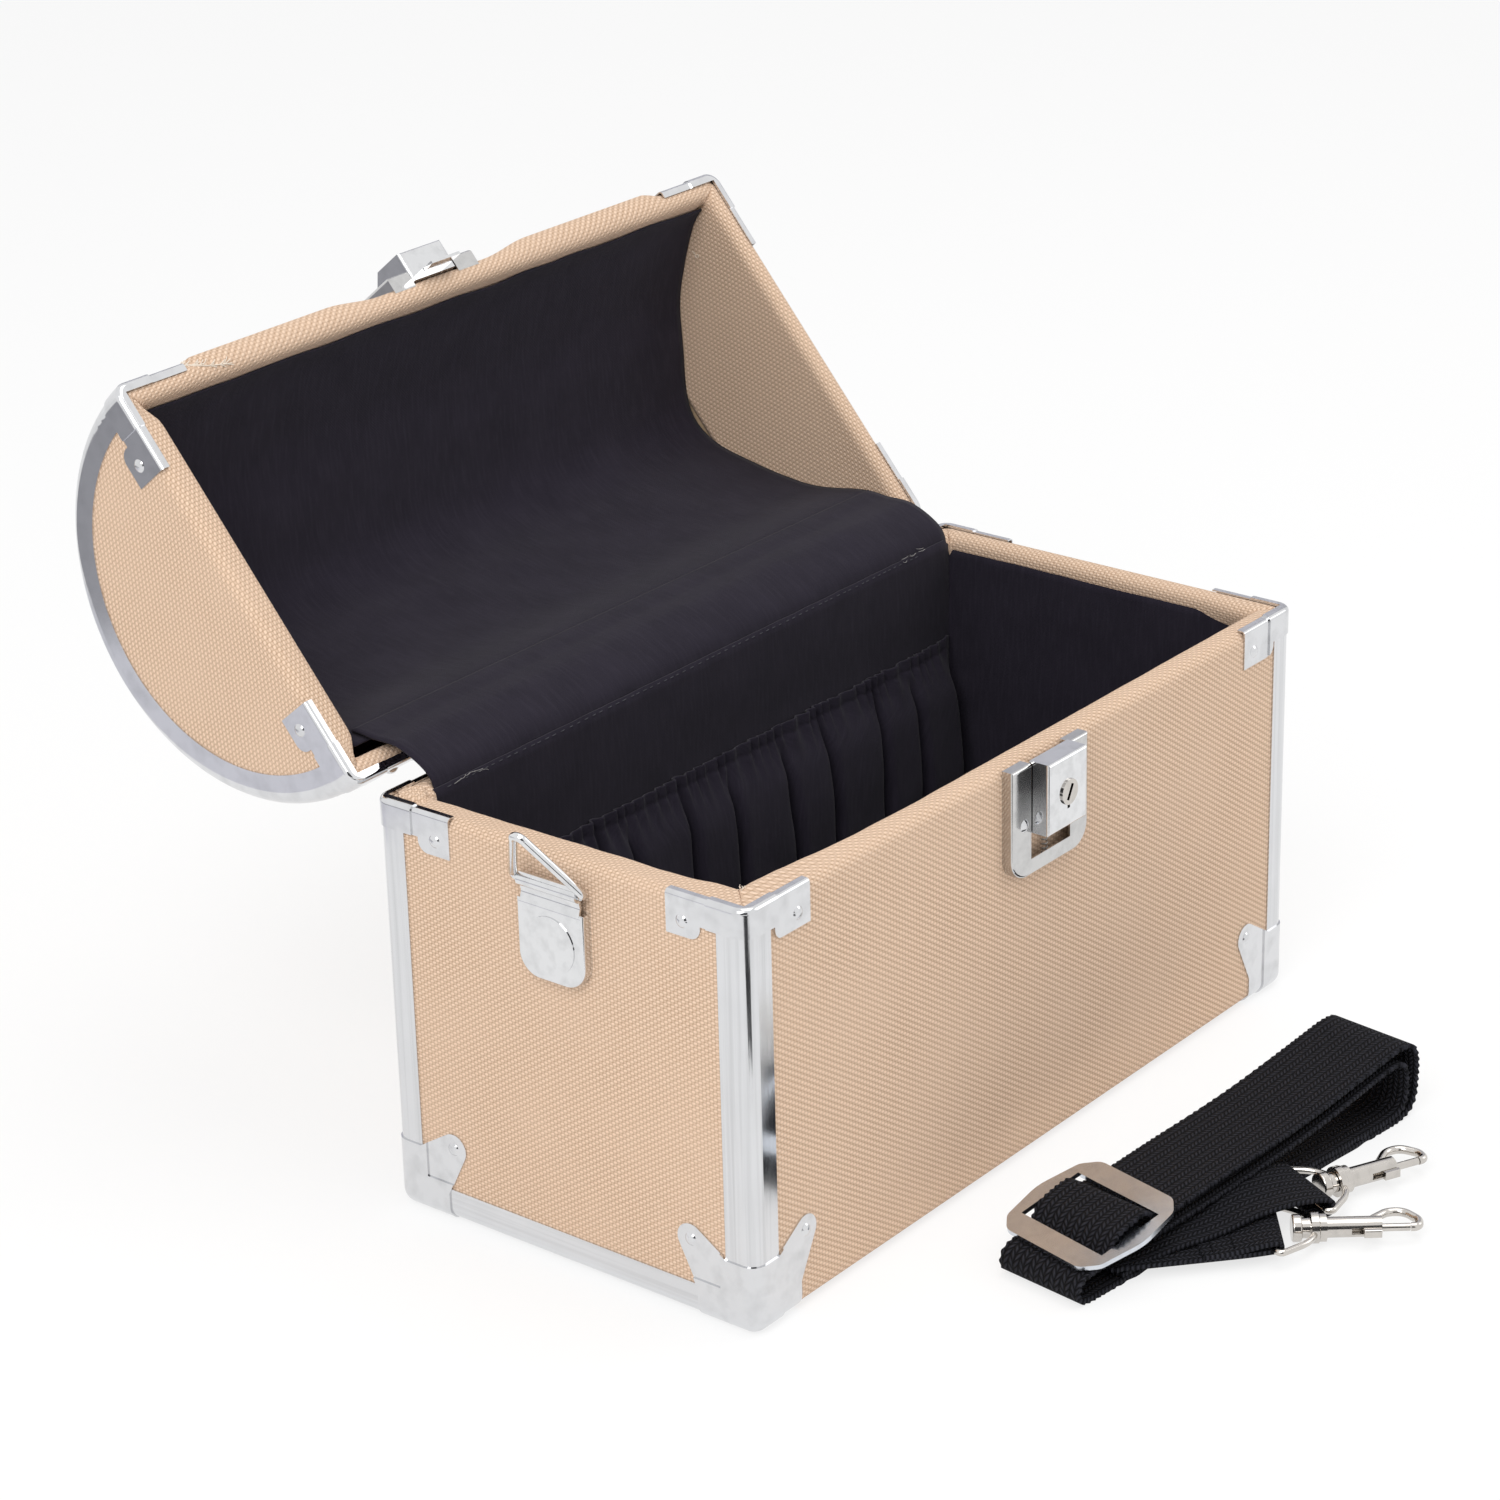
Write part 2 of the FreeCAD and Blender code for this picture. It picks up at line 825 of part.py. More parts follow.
def lock_plate():
    """Lock plate with the guide opening for the block, open at the top."""
    half = block_width / 2 + block_clearance
    opening = box((-half, half), (lock_face - reach, -half_depth), (block_low - slot_depth, far))
    return lock_pan(lock_top - lock_height, lock_top, True, lock_depth).cut(opening)


def lock_slider():
    """Sliding block with rounded front edges, key bore and the flange that keeps it in the plate."""
    front = -half_depth - block_proud
    half = block_width / 2
    block = box((-half, half), (front, slide_back), (block_low, block_top))
    block = rounded(block, block_round, level("y", front))
    half_flange = slide_flange_width / 2
    flange = box(
        (-half_flange, half_flange),
        (slide_back - 2 * fillet_margin, slide_back + slide_flange_thickness),
        (block_low - lock_sheet, block_low + slide_flange_height),
    )
    flange = flange.cut(box((-far, far), (-far, lock_face + lock_sheet + joint_gap), (-far, far)))
    body = block.fuse(flange).removeSplitter()
    bore = rod(
        V(0, front - reach, key_height),
        V(0, front + key_length, key_height),
        key_radius + running_clearance,
    )
    notch = box(
        (-key_slot_width / 2, key_slot_width / 2),
        (front - reach, front + key_slot_depth),
        (key_height - key_radius - key_slot_width, key_height),
    )
    return body.cut(bore).cut(notch)


def key_cylinder():
    """Round key plug with its slot, left partly turned."""
    front = -half_depth - block_proud - key_proud
    plug = rod(
        V(0, front, key_height),
        V(0, front + key_proud + key_length - joint_gap, key_height),
        key_radius,
    )
    slot = box(
        (-key_slot_width / 2, key_slot_width / 2),
        (front - reach, front + key_slot_depth),
        (key_height - key_slot_length / 2, key_height + key_slot_length / 2),
    )
    return turned(plug.cut(slot), V(0, 0, key_height), V(0, 1, 0), key_rest_turn)


def lock_spring():
    """Return spring under the slider, as a plain sleeve of its outer size."""
    low = lock_top - lock_height + lock_sheet
    high = block_low - lock_sheet
    middle = -half_depth - (lock_depth - lock_sheet) / 2
    outer = rod(V(0, middle, low), V(0, middle, high), spring_radius)
    return outer.cut(rod(V(0, middle, low), V(0, middle, high), spring_radius - spring_wall))


def catch_pieces():
    """Lid half of the lock, closed: a pan cut to the dome and the block with its tongue."""
    low = lid_rim + lock_top_drop
    high = low + catch_height
    dome = lid_block(fillet_margin)
    half = block_width / 2 + block_clearance
    opening = box(
        (-half, half), (lock_face - reach, far), (low - reach, lid_rim + catch_block_height + joint_gap)
    )
    plate_form = lock_pan(low, high, False, half_depth).cut(dome).cut(opening)
    plate_form = max(plate_form.Solids, key=lambda solid: solid.Volume)

    half_block = block_width / 2
    front = -half_depth - block_proud
    block = box(
        (-half_block, half_block),
        (front, 0),
        (lid_rim + fillet_margin, lid_rim + catch_block_height),
    )

    def front_high(edge):
        return level("y", front)(edge) and level("z", lid_rim + catch_block_height)(edge)

    block = block.makeChamfer(block_proud - lock_depth, [e for e in block.Edges if front_high(e)])
    at_rim = level("z", lid_rim + fillet_margin)
    inside = level("y", 0.0)
    block = rounded(block, catch_block_round, lambda edge: at_rim(edge) and not inside(edge))
    below_bead = box((-far, far), (-half_depth - fillet_margin, far), (-far, lid_rim + rim_round))
    block = block.cut(dome).cut(below_bead)
    tongue = box(
        (-tongue_width / 2, tongue_width / 2),
        (-half_depth - tongue_setout - tongue_thickness, -half_depth - tongue_setout),
        (lid_rim - tongue_length, lid_rim + wall),
    )
    return plate_form, joined([block, tongue])


def lock_rivets(height, outward_face):
    """Pair of rivet heads on the front of a lock pan."""
    return [rivet(V(sx * lock_rivet_out, outward_face, height), V(0, -1, 0)) for sx in (-1, 1)]


# Strap rings

ring_axis_x = -half_length - ring_axis_out


def ring_plate():
    """Left ring plate: a pan with a plain raised disc, a neck and a rolled barrel."""
    half = ring_plate_width / 2
    face = -half_length - ring_plate_depth
    outline = pan(
        half, ring_plate_low, ring_plate_high, lock_corner, on_end(face), V(ring_plate_depth, 0, 0), True
    )
    outer = rounded(outline, lock_edge_round, level("x", face))
    inner = pan(
        half - lock_sheet,
        ring_plate_low + lock_sheet,
        ring_plate_high - lock_sheet,
        lock_corner - lock_sheet,
        on_end(face + lock_sheet),
        V(ring_plate_depth, 0, 0),
        True,
    )
    middle = (ring_plate_low + ring_plate_high) / 2
    disc = rod(
        V(face + lock_sheet / 2, 0, middle),
        V(face - ring_plate_emboss_rise, 0, middle),
        ring_plate_emboss,
    )
    half_barrel = barrel_length / 2
    barrel_wall = (barrel_radius + ring_wire / 2) / 2
    neck_line = [
        (ring_axis_x, ring_axis_height - barrel_wall, 0.0),
        (ring_axis_x + neck_dip, ring_axis_height - 0.65 * neck_height, neck_bend),
        (face + lock_sheet / 2, ring_plate_high - lock_edge_round, 0.0),
    ]
    neck = ribbon(
        neck_line, lock_sheet, lambda p: V(p.x, -half_barrel, p.y), V(0, barrel_length, 0)
    )
    ends = (V(ring_axis_x, -half_barrel, ring_axis_height), V(ring_axis_x, half_barrel, ring_axis_height))
    roll = rod(ends[0], ends[1], barrel_radius)
    bore = rod(ends[0], ends[1], ring_wire / 2 + running_clearance)
    return joined([outer.cut(inner), disc, neck, roll]).cut(bore)


def strap_ring(lean):
    """Left triangular wire ring, leaning out from its barrel by an angle from upright."""
    half = ring_half_base
    corners = [
        (half, 0.0, ring_base_bend),
        (0.0, ring_rise, ring_top_bend),
        (-half, 0.0, ring_base_bend),
    ]
    place = lambda p: V(ring_axis_x, p.x, ring_axis_height + p.y)
    wire = Part.Wire(Part.__sortEdges__(path_edges(corners, 0.0, place, True)[0]))
    start = wire.Edges[0].Vertexes[0].Point
    heading = wire.Edges[0].tangentAt(wire.Edges[0].FirstParameter)
    section = Part.Wire(Part.makeCircle(ring_wire / 2, start, heading))
    ring = wire.makePipeShell([section], True, False)
    return turned(ring, V(ring_axis_x, 0, ring_axis_height), V(0, 1, 0), -lean)


# Hinges

def hinge_centres():
    return (-hinge_spacing / 2, hinge_spacing / 2)


def knuckle(x0, x1):
    """Rolled knuckle with its pin bore."""
    ends = (V(x0, hinge_y, hinge_z), V(x1, hinge_y, hinge_z))
    roll = rod(ends[0], ends[1], hinge_knuckle_radius)
    return roll, rod(ends[0], ends[1], hinge_pin_radius + running_clearance)


def hinge_leaves():
    """Base leaves, closed lid leaves, pins and rivet heads of both hinges."""
    half = hinge_leaf_length / 2
    middle = hinge_knuckle / 2
    sheet = hinge_leaf_thickness
    shelf = hinge_knuckle_radius
    base_low = hinge_z - shelf - hinge_leaf_height
    lid_high = lid_rim + hinge_leaf_height
    curved = lid_block(sheet).cut(lid_block(0.0))
    base, lid, pins, base_heads, lid_heads = [], [], [], [], []
    for x in hinge_centres():
        leaf = box((x - half, x + half), (half_depth, half_depth + sheet), (base_low, hinge_z - shelf + sheet))
        parts = [leaf]
        for x0, x1 in ((x - half, x - middle - joint_gap), (x + middle + joint_gap, x + half)):
            roll, bore = knuckle(x0, x1)
            parts.append(roll)
            parts.append(box((x0, x1), (half_depth, hinge_y), (hinge_z - shelf, hinge_z - shelf + sheet)))
        base.append(joined(parts).cut(knuckle(x - half, x + half)[1]))

        roll, bore = knuckle(x - middle, x + middle)
        zone = box((x - half, x + half), (0, far), (lid_rim + rim_round, lid_high))
        web = box((x - middle, x + middle), (half_depth, hinge_y), (hinge_z + shelf - sheet, hinge_z + shelf))
        foot = box(
            (x - half, x + half),
            (half_depth, half_depth + sheet),
            (hinge_z + shelf - sheet, lid_rim + rim_round + steel),
        )
        lid.append(joined([curved.common(zone), web, foot, roll]).cut(bore))
        pins.append(rod(V(x - half, hinge_y, hinge_z), V(x + half, hinge_y, hinge_z), hinge_pin_radius))
        for side in (-1, 1):
            spot = x + side * hinge_rivet_out
            base_z = base_low + hinge_leaf_height / 3
            base_heads.append(rivet(V(spot, half_depth + sheet, base_z), V(0, 1, 0)))
            rise = math.asin((lid_high - hinge_leaf_height / 3 - lid_rim) / half_depth)
            out = V(0, math.cos(rise), math.sin(rise))
            lid_heads.append(rivet(V(spot, 0, lid_rim) + out * (half_depth + sheet), out))
    return base, lid, pins, base_heads, lid_heads


# Shoulder strap

def strap_place(along, across, up):
    """Point of the strap's own frame in the case's frame."""
    turn = math.radians(strap_turn)
    x = strap_corner_x + along * math.cos(turn) - across * math.sin(turn)
    y = strap_corner_y + along * math.sin(turn) + across * math.cos(turn)
    return V(x, y, up)


strap_low = webbing / 2 + fillet_margin
inner_run = strap_low + webbing + layer_gap
sleeve_radius = eye_wire / 2 + running_clearance + webbing


def fold_line():
    """Corner points of the folded webbing, seen from the front edge of the strap."""
    nose = strap_length - webbing
    top = strap_nose_height
    tilt = math.tan(math.radians(buckle_tilt))
    lift = buckle_sheet / 2 + webbing / 2 + buckle_gap
    bar_left = buckle_along - buckle_bar / 2 - 2.4
    bar_right = buckle_along + buckle_bar / 2 + 2.2
    over_left = buckle_up + (bar_left - buckle_along) * tilt + lift
    over_right = buckle_up + (bar_right - buckle_along) * tilt + lift
    return [
        (bar_left - 3.4, over_left - 5.0, 0.0),
        (bar_left, over_left, 1.4),
        (bar_right, over_right, 1.4),
        (bar_right + 3.8, over_right - 5.4, 1.8),
        (0.413 * nose, 0.622 * top, 40.0),
        (0.649 * nose, 0.722 * top, 60.0),
        (nose - 12.0, top - 1.0, 20.0),
        (nose, top, 10.0),
        (nose, strap_low, 9.0),
        (0.0, strap_low, 4.0),
        (0.0, strap_low + 8.2, 3.9),
        (0.354 * nose, strap_low + 9.2, 60.0),
        (0.661 * nose, strap_low + 13.4, 60.0),
        (nose - 16.0, top - 5.2, 20.0),
        (nose - 5.0, top - 6.0, 7.0),
        (nose - 5.0, inner_run, 7.0),
        (20.0, inner_run, 0.0),
    ]


def strap_fold():
    """Webbing folded on itself: over the buckle bar, round the far end and the low fold, and back."""
    across = strap_place(0, webbing_width, 0).sub(strap_place(0, 0, 0))
    return ribbon(fold_line(), webbing, lambda p: strap_place(p.x, 0, p.y), across)


def fold_gap():
    """Least gap between the layers of the folded webbing, measured on points of its middle line."""
    edges = path_edges(fold_line(), 0.0, on_front(0.0), False)[0]
    spots = []
    travelled = 0.0
    for edge in edges:
        steps = max(2, int(edge.Length))
        for spot in edge.discretize(steps)[:-1]:
            spots.append((travelled, spot))
            travelled += edge.Length / (steps - 1)
    gaps = []
    for i, (start, a) in enumerate(spots):
        gaps += [a.distanceToPoint(b) for end, b in spots[i + 1:] if end - start > 12 * webbing]
    return min(gaps) - webbing


def heading_vector(degrees):
    """Level unit vector with a heading."""
    return V(math.cos(math.radians(degrees)), math.sin(math.radians(degrees)), 0)


def strap_tail(place):
    """Tail from inside the fold to the sleeve sewn round a swivel eye's bar."""
    name, x, y, heading, height, length, tail_heading = place
    out = heading_vector(heading)
    bar = V(x, y, height) - out * eye_depth
    along = heading_vector(tail_heading)
    across = V(-along.y, along.x, 0)
    start = bar - across * (tail_width / 2)
    line = [(-length, inner_run, 0.0)]
    if place is upper_hook:
        rest = inner_run + webbing + layer_gap
        crest = lower_hook[4] + sleeve_radius + joint_gap + webbing / 2
        line += [
            (-length + tail_lead, inner_run, 20.0),
            (-length + tail_lead + tail_rise_run, rest, 20.0),
            (-crest_start, rest, 12.0),
            (-crest_start + crest_rise_run, crest, 8.0),
            (-crest_start + crest_rise_run + crest_run, crest, 6.0),
        ]
    else:
        line += [(-low_tail_lead, inner_run, 20.0)]
    line += [(0.0, height, 4.0), (reach, height, 0.0)]
    lay = lambda p: V(start.x + along.x * p.x, start.y + along.y * p.x, p.y)
    strip = ribbon(line, webbing, lay, across * tail_width)
    strip = strip.cut(hook_frame(box((-eye_depth, far), (-far, far), (-far, far)), place))
    half_bar = V(-out.y, out.x, 0) * (tail_width / 2)
    sleeve = rod(bar - half_bar, bar + half_bar, sleeve_radius)
    bore = rod(bar - half_bar * 2, bar + half_bar * 2, eye_wire / 2 + running_clearance)
    return strip.fuse(sleeve).cut(bore)


def strap_webbing():
    """The whole strap as one piece of webbing."""
    return joined([strap_fold(), strap_tail(upper_hook), strap_tail(lower_hook)])


def slide_buckle():
    """Flat slide buckle with bowed sides and two slots beside its middle bar."""
    half_w = buckle_width / 2
    half_l = buckle_length / 2
    corner = buckle_corner
    outline = [
        (-half_l, -half_w + corner, corner),
        (-half_l + corner, -half_w, corner),
        (0.0, -half_w - buckle_bow, half_l),
        (half_l - corner, -half_w, corner),
        (half_l, -half_w + corner, corner),
        (half_l, half_w - corner, corner),
        (half_l - corner, half_w, corner),
        (0.0, half_w + buckle_bow, half_l),
        (-half_l + corner, half_w, corner),
        (-half_l, half_w - corner, corner),
    ]
    low = -buckle_sheet / 2
    form = plate(outline, on_floor(low), V(0, 0, buckle_sheet))
    for side in (-1, 1):
        near = side * buckle_bar / 2
        far_edge = side * (buckle_bar / 2 + buckle_slot)
        form = form.cut(
            box((near, far_edge), (-buckle_window / 2, buckle_window / 2), (-reach, reach))
        )
    form = turned(form, V(0, 0, 0), V(0, 1, 0), -buckle_tilt)
    form = turned(form, V(0, 0, 0), V(0, 0, 1), strap_turn + buckle_turn)
    form.translate(strap_place(buckle_along, buckle_across, buckle_up))
    return form


def hook_frame(shape, place):
    """Move a piece drawn along X from its swivel to a hook's place and heading."""
    moved = turned(shape, V(0, 0, 0), V(0, 0, 1), place[3])
    moved.translate(V(place[1], place[2], place[4]))
    return moved


def wire_along(points, closed, thickness):
    """Round wire along corner points on a level plane."""
    edges = path_edges(points, 0.0, on_floor(0.0), closed)[0]
    path = Part.Wire(Part.__sortEdges__(edges) if closed else edges)
    first = path.OrderedEdges[0]
    start = first.valueAt(first.FirstParameter)
    section = Part.Wire(Part.makeCircle(thickness / 2, start, first.tangentAt(first.FirstParameter)))
    return path.makePipeShell([section], True, False)


def swivel_eye():
    """D-shaped wire eye with the boss that the hook's stem turns in."""
    half = eye_half_width - eye_wire / 2
    loop = [
        (-eye_depth, -half, eye_bend),
        (-eye_depth, half, eye_bend),
        (0.0, 0.45 * half, 0.9 * eye_depth),
        (0.0, -0.45 * half, 0.9 * eye_depth),
    ]
    half_boss = eye_boss_length / 2
    boss = rod(V(-half_boss, 0, 0), V(half_boss, 0, 0), eye_boss_radius)
    bore = rod(V(-reach, 0, 0), V(reach, 0, 0), stem_radius + running_clearance)
    return wire_along(loop, True, eye_wire).fuse(boss).cut(bore)


shoulder = eye_boss_length / 2 + joint_gap
hook_body_start = shoulder + collar_length
hook_body_end = hook_body_start + hook_body_length
hook_tip = hook_body_end + hook_reach


def snap_hook():
    """Swivel hook: drum head, neck, stem, collar, barrel body and curved nose."""
    back = -shoulder - neck_length - head_length
    head = rod(V(back, 0, 0), V(back + head_length, 0, 0), head_radius)
    head = rounded(head, head_length / 5, lambda edge: level("x", back)(edge) or level("x", back + head_length)(edge))
    neck = rod(V(back + head_length / 2, 0, 0), V(-shoulder, 0, 0), neck_radius)
    stem = rod(V(back + head_length, 0, 0), V(hook_body_start, 0, 0), stem_radius)
    collar = rod(V(shoulder, 0, 0), V(hook_body_start, 0, 0), collar_radius)
    body = rod(V(shoulder + collar_length / 2, 0, 0), V(hook_body_end, 0, 0), hook_body_radius)
    line = hook_body_radius - hook_wire / 2
    nose = [
        (hook_body_end - nose_root, line, 0.0),
        (hook_body_end - nose_lead, line, nose_lead),
        (hook_body_end + nose_swell, hook_bulge, 2 * nose_swell),
        (hook_tip - nose_crown, hook_bulge, 1.25 * nose_crown),
        (hook_tip, nose_hang, 1.25 * nose_hang),
        (hook_tip - nose_overhang, -bolt_setover, 0.6 * nose_landing),
        (hook_tip - nose_landing, -bolt_setover, 0.0),
    ]
    form = joined([head, neck, stem, collar, body, wire_along(nose, False, hook_wire)])
    bore = rod(
        V(hook_body_end - bolt_depth, -bolt_setover, 0),
        V(hook_body_end + reach / 2, -bolt_setover, 0),
        bolt_radius + running_clearance,
    )
    half_slot = thumb_stem_width / 2 + joint_gap
    slot = box(
        (thumb_place - thumb_stem / 2 - bolt_travel - joint_gap, thumb_place + thumb_stem / 2 + joint_gap),
        (-reach, -bolt_setover),
        (-half_slot, half_slot),
    )
    return form.cut(bore).cut(slot)


thumb_place = hook_body_end - thumb_length / 2 - joint_gap


def hook_bolt():
    """Sprung gate bolt with its thumb pad."""
    back = hook_body_end - bolt_depth + bolt_travel + joint_gap
    front = hook_tip - nose_landing - joint_gap
    pin = rod(V(back, -bolt_setover, 0), V(front, -bolt_setover, 0), bolt_radius)
    pad_low = -hook_body_radius - joint_gap
    half_stem = thumb_stem / 2
    stem = box(
        (thumb_place - half_stem, thumb_place + half_stem),
        (pad_low - thumb_thickness / 2, -bolt_setover),
        (-thumb_stem_width / 2, thumb_stem_width / 2),
    )
    pad = box(
        (thumb_place - thumb_length / 2, thumb_place + thumb_length / 2),
        (pad_low - thumb_thickness, pad_low),
        (-thumb_width / 2, thumb_width / 2),
    )
    pad = rounded(pad, thumb_thickness / 3, lambda edge: level("y", pad_low - thumb_thickness)(edge))
    return joined([pin, stem, pad])


# Assembly

def build():
    """All pieces by name, with the lid's pieces turned open."""
    pieces = {}
    pieces.update(base_walls())
    pieces.update(pocket())
    pieces["lining_flap"] = lining_flap()

    angles = edge_angles()
    pieces.update(at_corners(angles[0], "corner_angle"))
    pieces["bottom_angle_left"] = angles[1]
    pieces["bottom_angle_right"] = mirrored(angles[1], (1, 0, 0))
    pieces.update(at_corners(bottom_cap(angles), "bottom_cap"))
    pieces.update(at_corners(rim_clip(base_block, angles[0], rim_height, -1), "base_clip"))

    lid = lid_walls()
    trim = arc_trim()
    lid["lid_arc_trim_left"] = trim
    lid["lid_arc_trim_right"] = mirrored(trim, (1, 0, 0))
    lid.update(at_corners(rim_clip(lid_block, trim, lid_rim, 1), "lid_clip"))

    base_leaves, lid_leaves, pins, base_heads, lid_heads = hinge_leaves()
    pieces["hinge_base_leaves"] = Part.Compound(base_leaves)
    pieces["hinge_pins"] = Part.Compound(pins)
    lid["hinge_lid_leaves"] = Part.Compound(lid_leaves)

    pieces["lock_plate"] = lock_plate()
    pieces["lock_slider"] = lock_slider()
    pieces["key_cylinder"] = key_cylinder()
    pieces["lock_spring"] = lock_spring()
    lid["catch_plate"], lid["catch_block"] = catch_pieces()

    dome_rise = math.asin(clip_rivet_down / half_depth)
    base_heads += corner_rivets(rim_height, -1, 0.0) + cap_rivets()
    base_heads += lock_rivets(lock_top - lock_rivet_down, lock_face)
    lid_heads += corner_rivets(lid_rim, 1, dome_rise)
    lid_heads += lock_rivets(lid_rim + lock_rivet_down, lock_face)
    pieces["base_rivets"] = Part.Compound(base_heads)
    lid["lid_rivets"] = Part.Compound(lid_heads)

    pieces["ring_plate_left"] = ring_plate()
    pieces["ring_plate_right"] = mirrored(pieces["ring_plate_left"], (1, 0, 0))
    pieces["strap_ring_left"] = strap_ring(ring_lean)
    pieces["strap_ring_right"] = mirrored(strap_ring(ring_droop), (1, 0, 0))

    pieces["strap_webbing"] = strap_webbing()
    pieces["slide_buckle"] = slide_buckle()
    places = (upper_hook, lower_hook)
    pieces["swivel_eyes"] = Part.Compound([hook_frame(swivel_eye(), place) for place in places])
    for place in places:
        pieces["snap_hook_" + place[0]] = hook_frame(snap_hook(), place)
        pieces["hook_bolt_" + place[0]] = hook_frame(hook_bolt(), place)

    for name, shape in lid.items():
        pieces[name] = opened(shape)
    return pieces


def main():
    os.makedirs("parts", exist_ok=True)
    print("least gap between the folded webbing's layers:", round(fold_gap(), 2), "mm")
    for name, shape in build().items():
        shape.exportStep(os.path.join("parts", name + ".step"))
        print(name, len(shape.Solids), shape.isValid(), round(shape.Volume, 1))


main()
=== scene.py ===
import bpy
import math
import random
from mathutils import Matrix, Vector, noise


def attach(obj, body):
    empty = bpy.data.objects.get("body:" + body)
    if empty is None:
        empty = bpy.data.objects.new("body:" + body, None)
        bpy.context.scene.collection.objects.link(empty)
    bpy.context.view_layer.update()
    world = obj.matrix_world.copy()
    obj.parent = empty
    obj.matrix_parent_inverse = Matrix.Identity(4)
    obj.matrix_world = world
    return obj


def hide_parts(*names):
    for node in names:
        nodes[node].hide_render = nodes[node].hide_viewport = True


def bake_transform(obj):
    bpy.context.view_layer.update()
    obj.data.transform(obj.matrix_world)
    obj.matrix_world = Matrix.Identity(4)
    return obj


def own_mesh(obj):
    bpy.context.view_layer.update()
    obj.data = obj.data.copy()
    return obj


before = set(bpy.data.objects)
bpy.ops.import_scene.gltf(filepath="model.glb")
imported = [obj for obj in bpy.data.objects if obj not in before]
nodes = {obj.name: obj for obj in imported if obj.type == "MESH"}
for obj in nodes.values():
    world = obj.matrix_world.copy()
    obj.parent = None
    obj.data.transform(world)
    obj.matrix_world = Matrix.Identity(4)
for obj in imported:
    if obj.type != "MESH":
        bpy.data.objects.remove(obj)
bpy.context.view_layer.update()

# Sizes of the case, in millimetres
half_length = 150.0
half_depth = 73.0
rim_height = 142.8
lid_rim = rim_height + 2.4
wall = 7.8
corner_round = 4.5
inner_round = 2.0
rim_round = 3.8
underside = 1.0
floor_height = 7.9
canvas_tuck = 12.0
lid_tuck = 20.0
hinge_y = 77.6
hinge_z = rim_height + 0.2
lid_angle = 130.0
canvas_thickness = 0.9
lining_thickness = 0.7
millimetre = 0.001
half_corner = math.radians(45.0)
least_round = 0.6

# Seam in the inner part of a rim's corner
mitre_start = 1.25
mitre_inset = 2.5
mitre_run = 4.0
mitre_depth = 0.9

# Mesh steps of the canvas and the lining
long_steps = 100
short_steps = 50
corner_steps = 4
bead_steps = 7
tuck_steps = 6
wall_steps = 40
dome_steps = 80
end_steps = 58
lining_steps = 110

lid_turn = (
    Matrix.Translation((0.0, hinge_y, hinge_z))
    @ Matrix.Rotation(math.radians(-lid_angle), 4, "X")
    @ Matrix.Translation((0.0, -hinge_y, -hinge_z))
)


# Small helpers

def spaced(start, end, steps):
    """Even values from start to end, both included."""
    return [start + (end - start) * i / steps for i in range(steps + 1)]


def stations(straight, corner):
    """Places along one side: -1 to 1 is its straight run, and beyond that the half corners."""
    left = [-2.0 + i / corner for i in range(corner)]
    right = [1.0 + (i + 1) / corner for i in range(corner)]
    return left + spaced(-1.0, 1.0, straight) + right


def corner_radius(inset):
    """Plan radius of a corner at a distance inside the outer face."""
    return corner_round + (inner_round - corner_round) * inset / wall


def side_place(station, half_side, inset):
    """Distance along a side, and how far its rounded corner draws in, at a station."""
    radius = max(least_round, corner_radius(inset))
    straight = half_side - inset - radius
    if abs(station) <= 1.0:
        return station * straight, 0.0
    angle = half_corner * (abs(station) - 1.0)
    along = straight + radius * math.sin(angle)
    return math.copysign(along, station), radius * (1.0 - math.cos(angle))


def ramp(low, high, place):
    """Smooth step from 0 at low to 1 at high."""
    share = min(1.0, max(0.0, (place - low) / (high - low)))
    return share * share * (3.0 - 2.0 * share)


def ripple(x, y, z, pitch):
    """Slow unevenness of cloth, from -1 to 1."""
    return noise.noise(Vector((x, y, z)) / pitch)


def bead(rim, way):
    """Rounded rim from the outer face to the inner one: inset, height, and share of any padding."""
    centre = rim - way * rim_round
    line = []
    for angle in spaced(0.0, 90.0, bead_steps):
        turn = math.radians(angle)
        line.append((rim_round - rim_round * math.cos(turn), centre + way * rim_round * math.sin(turn), 0.0))
    for share in spaced(0.0, 1.0, 4)[1:-1]:
        line.append((rim_round + (wall - 2.0 * rim_round) * share, rim, share))
    for angle in spaced(90.0, 0.0, bead_steps):
        turn = math.radians(angle)
        inset = wall - rim_round + rim_round * math.cos(turn)
        line.append((inset, centre + way * rim_round * math.sin(turn), 1.0))
    return line


def mitre_dip(station, inset):
    """How far the canvas sinks at the seam in the inner part of a rim's corner."""
    near = max(0.0, (abs(station) - mitre_start) / (2.0 - mitre_start))
    inside = min(1.0, max(0.0, (inset - mitre_inset) / mitre_run))
    return mitre_depth * near * near * inside


def add_spline(curve, points, fineness):
    """Smooth open spline with these control points."""
    spline = curve.splines.new("NURBS")
    spline.points.add(len(points) - 1)
    for spot, point in zip(spline.points, points):
        spot.co = (*point, 1.0)
    spline.order_u = 3
    spline.use_endpoint_u = True
    spline.resolution_u = fineness


def smooth_line(points, fineness, level=0.0):
    """Points read from a smooth spline on the YZ plane, with its control points' heights from a level."""
    curve = bpy.data.curves.new("line", "CURVE")
    curve.dimensions = "3D"
    add_spline(curve, [(0.0, y, level + z) for y, z in points], fineness)
    helper = bpy.data.objects.new("line", curve)
    mesh = bpy.data.meshes.new_from_object(helper)
    line = [(vertex.co.y, vertex.co.z) for vertex in mesh.vertices]
    bpy.data.objects.remove(helper)
    bpy.data.curves.remove(curve)
    bpy.data.meshes.remove(mesh)
    return line


def only(piece):
    """Make a piece the one selected, active object."""
    bpy.ops.object.select_all(action="DESELECT")
    piece.select_set(True)
    bpy.context.view_layer.objects.active = piece


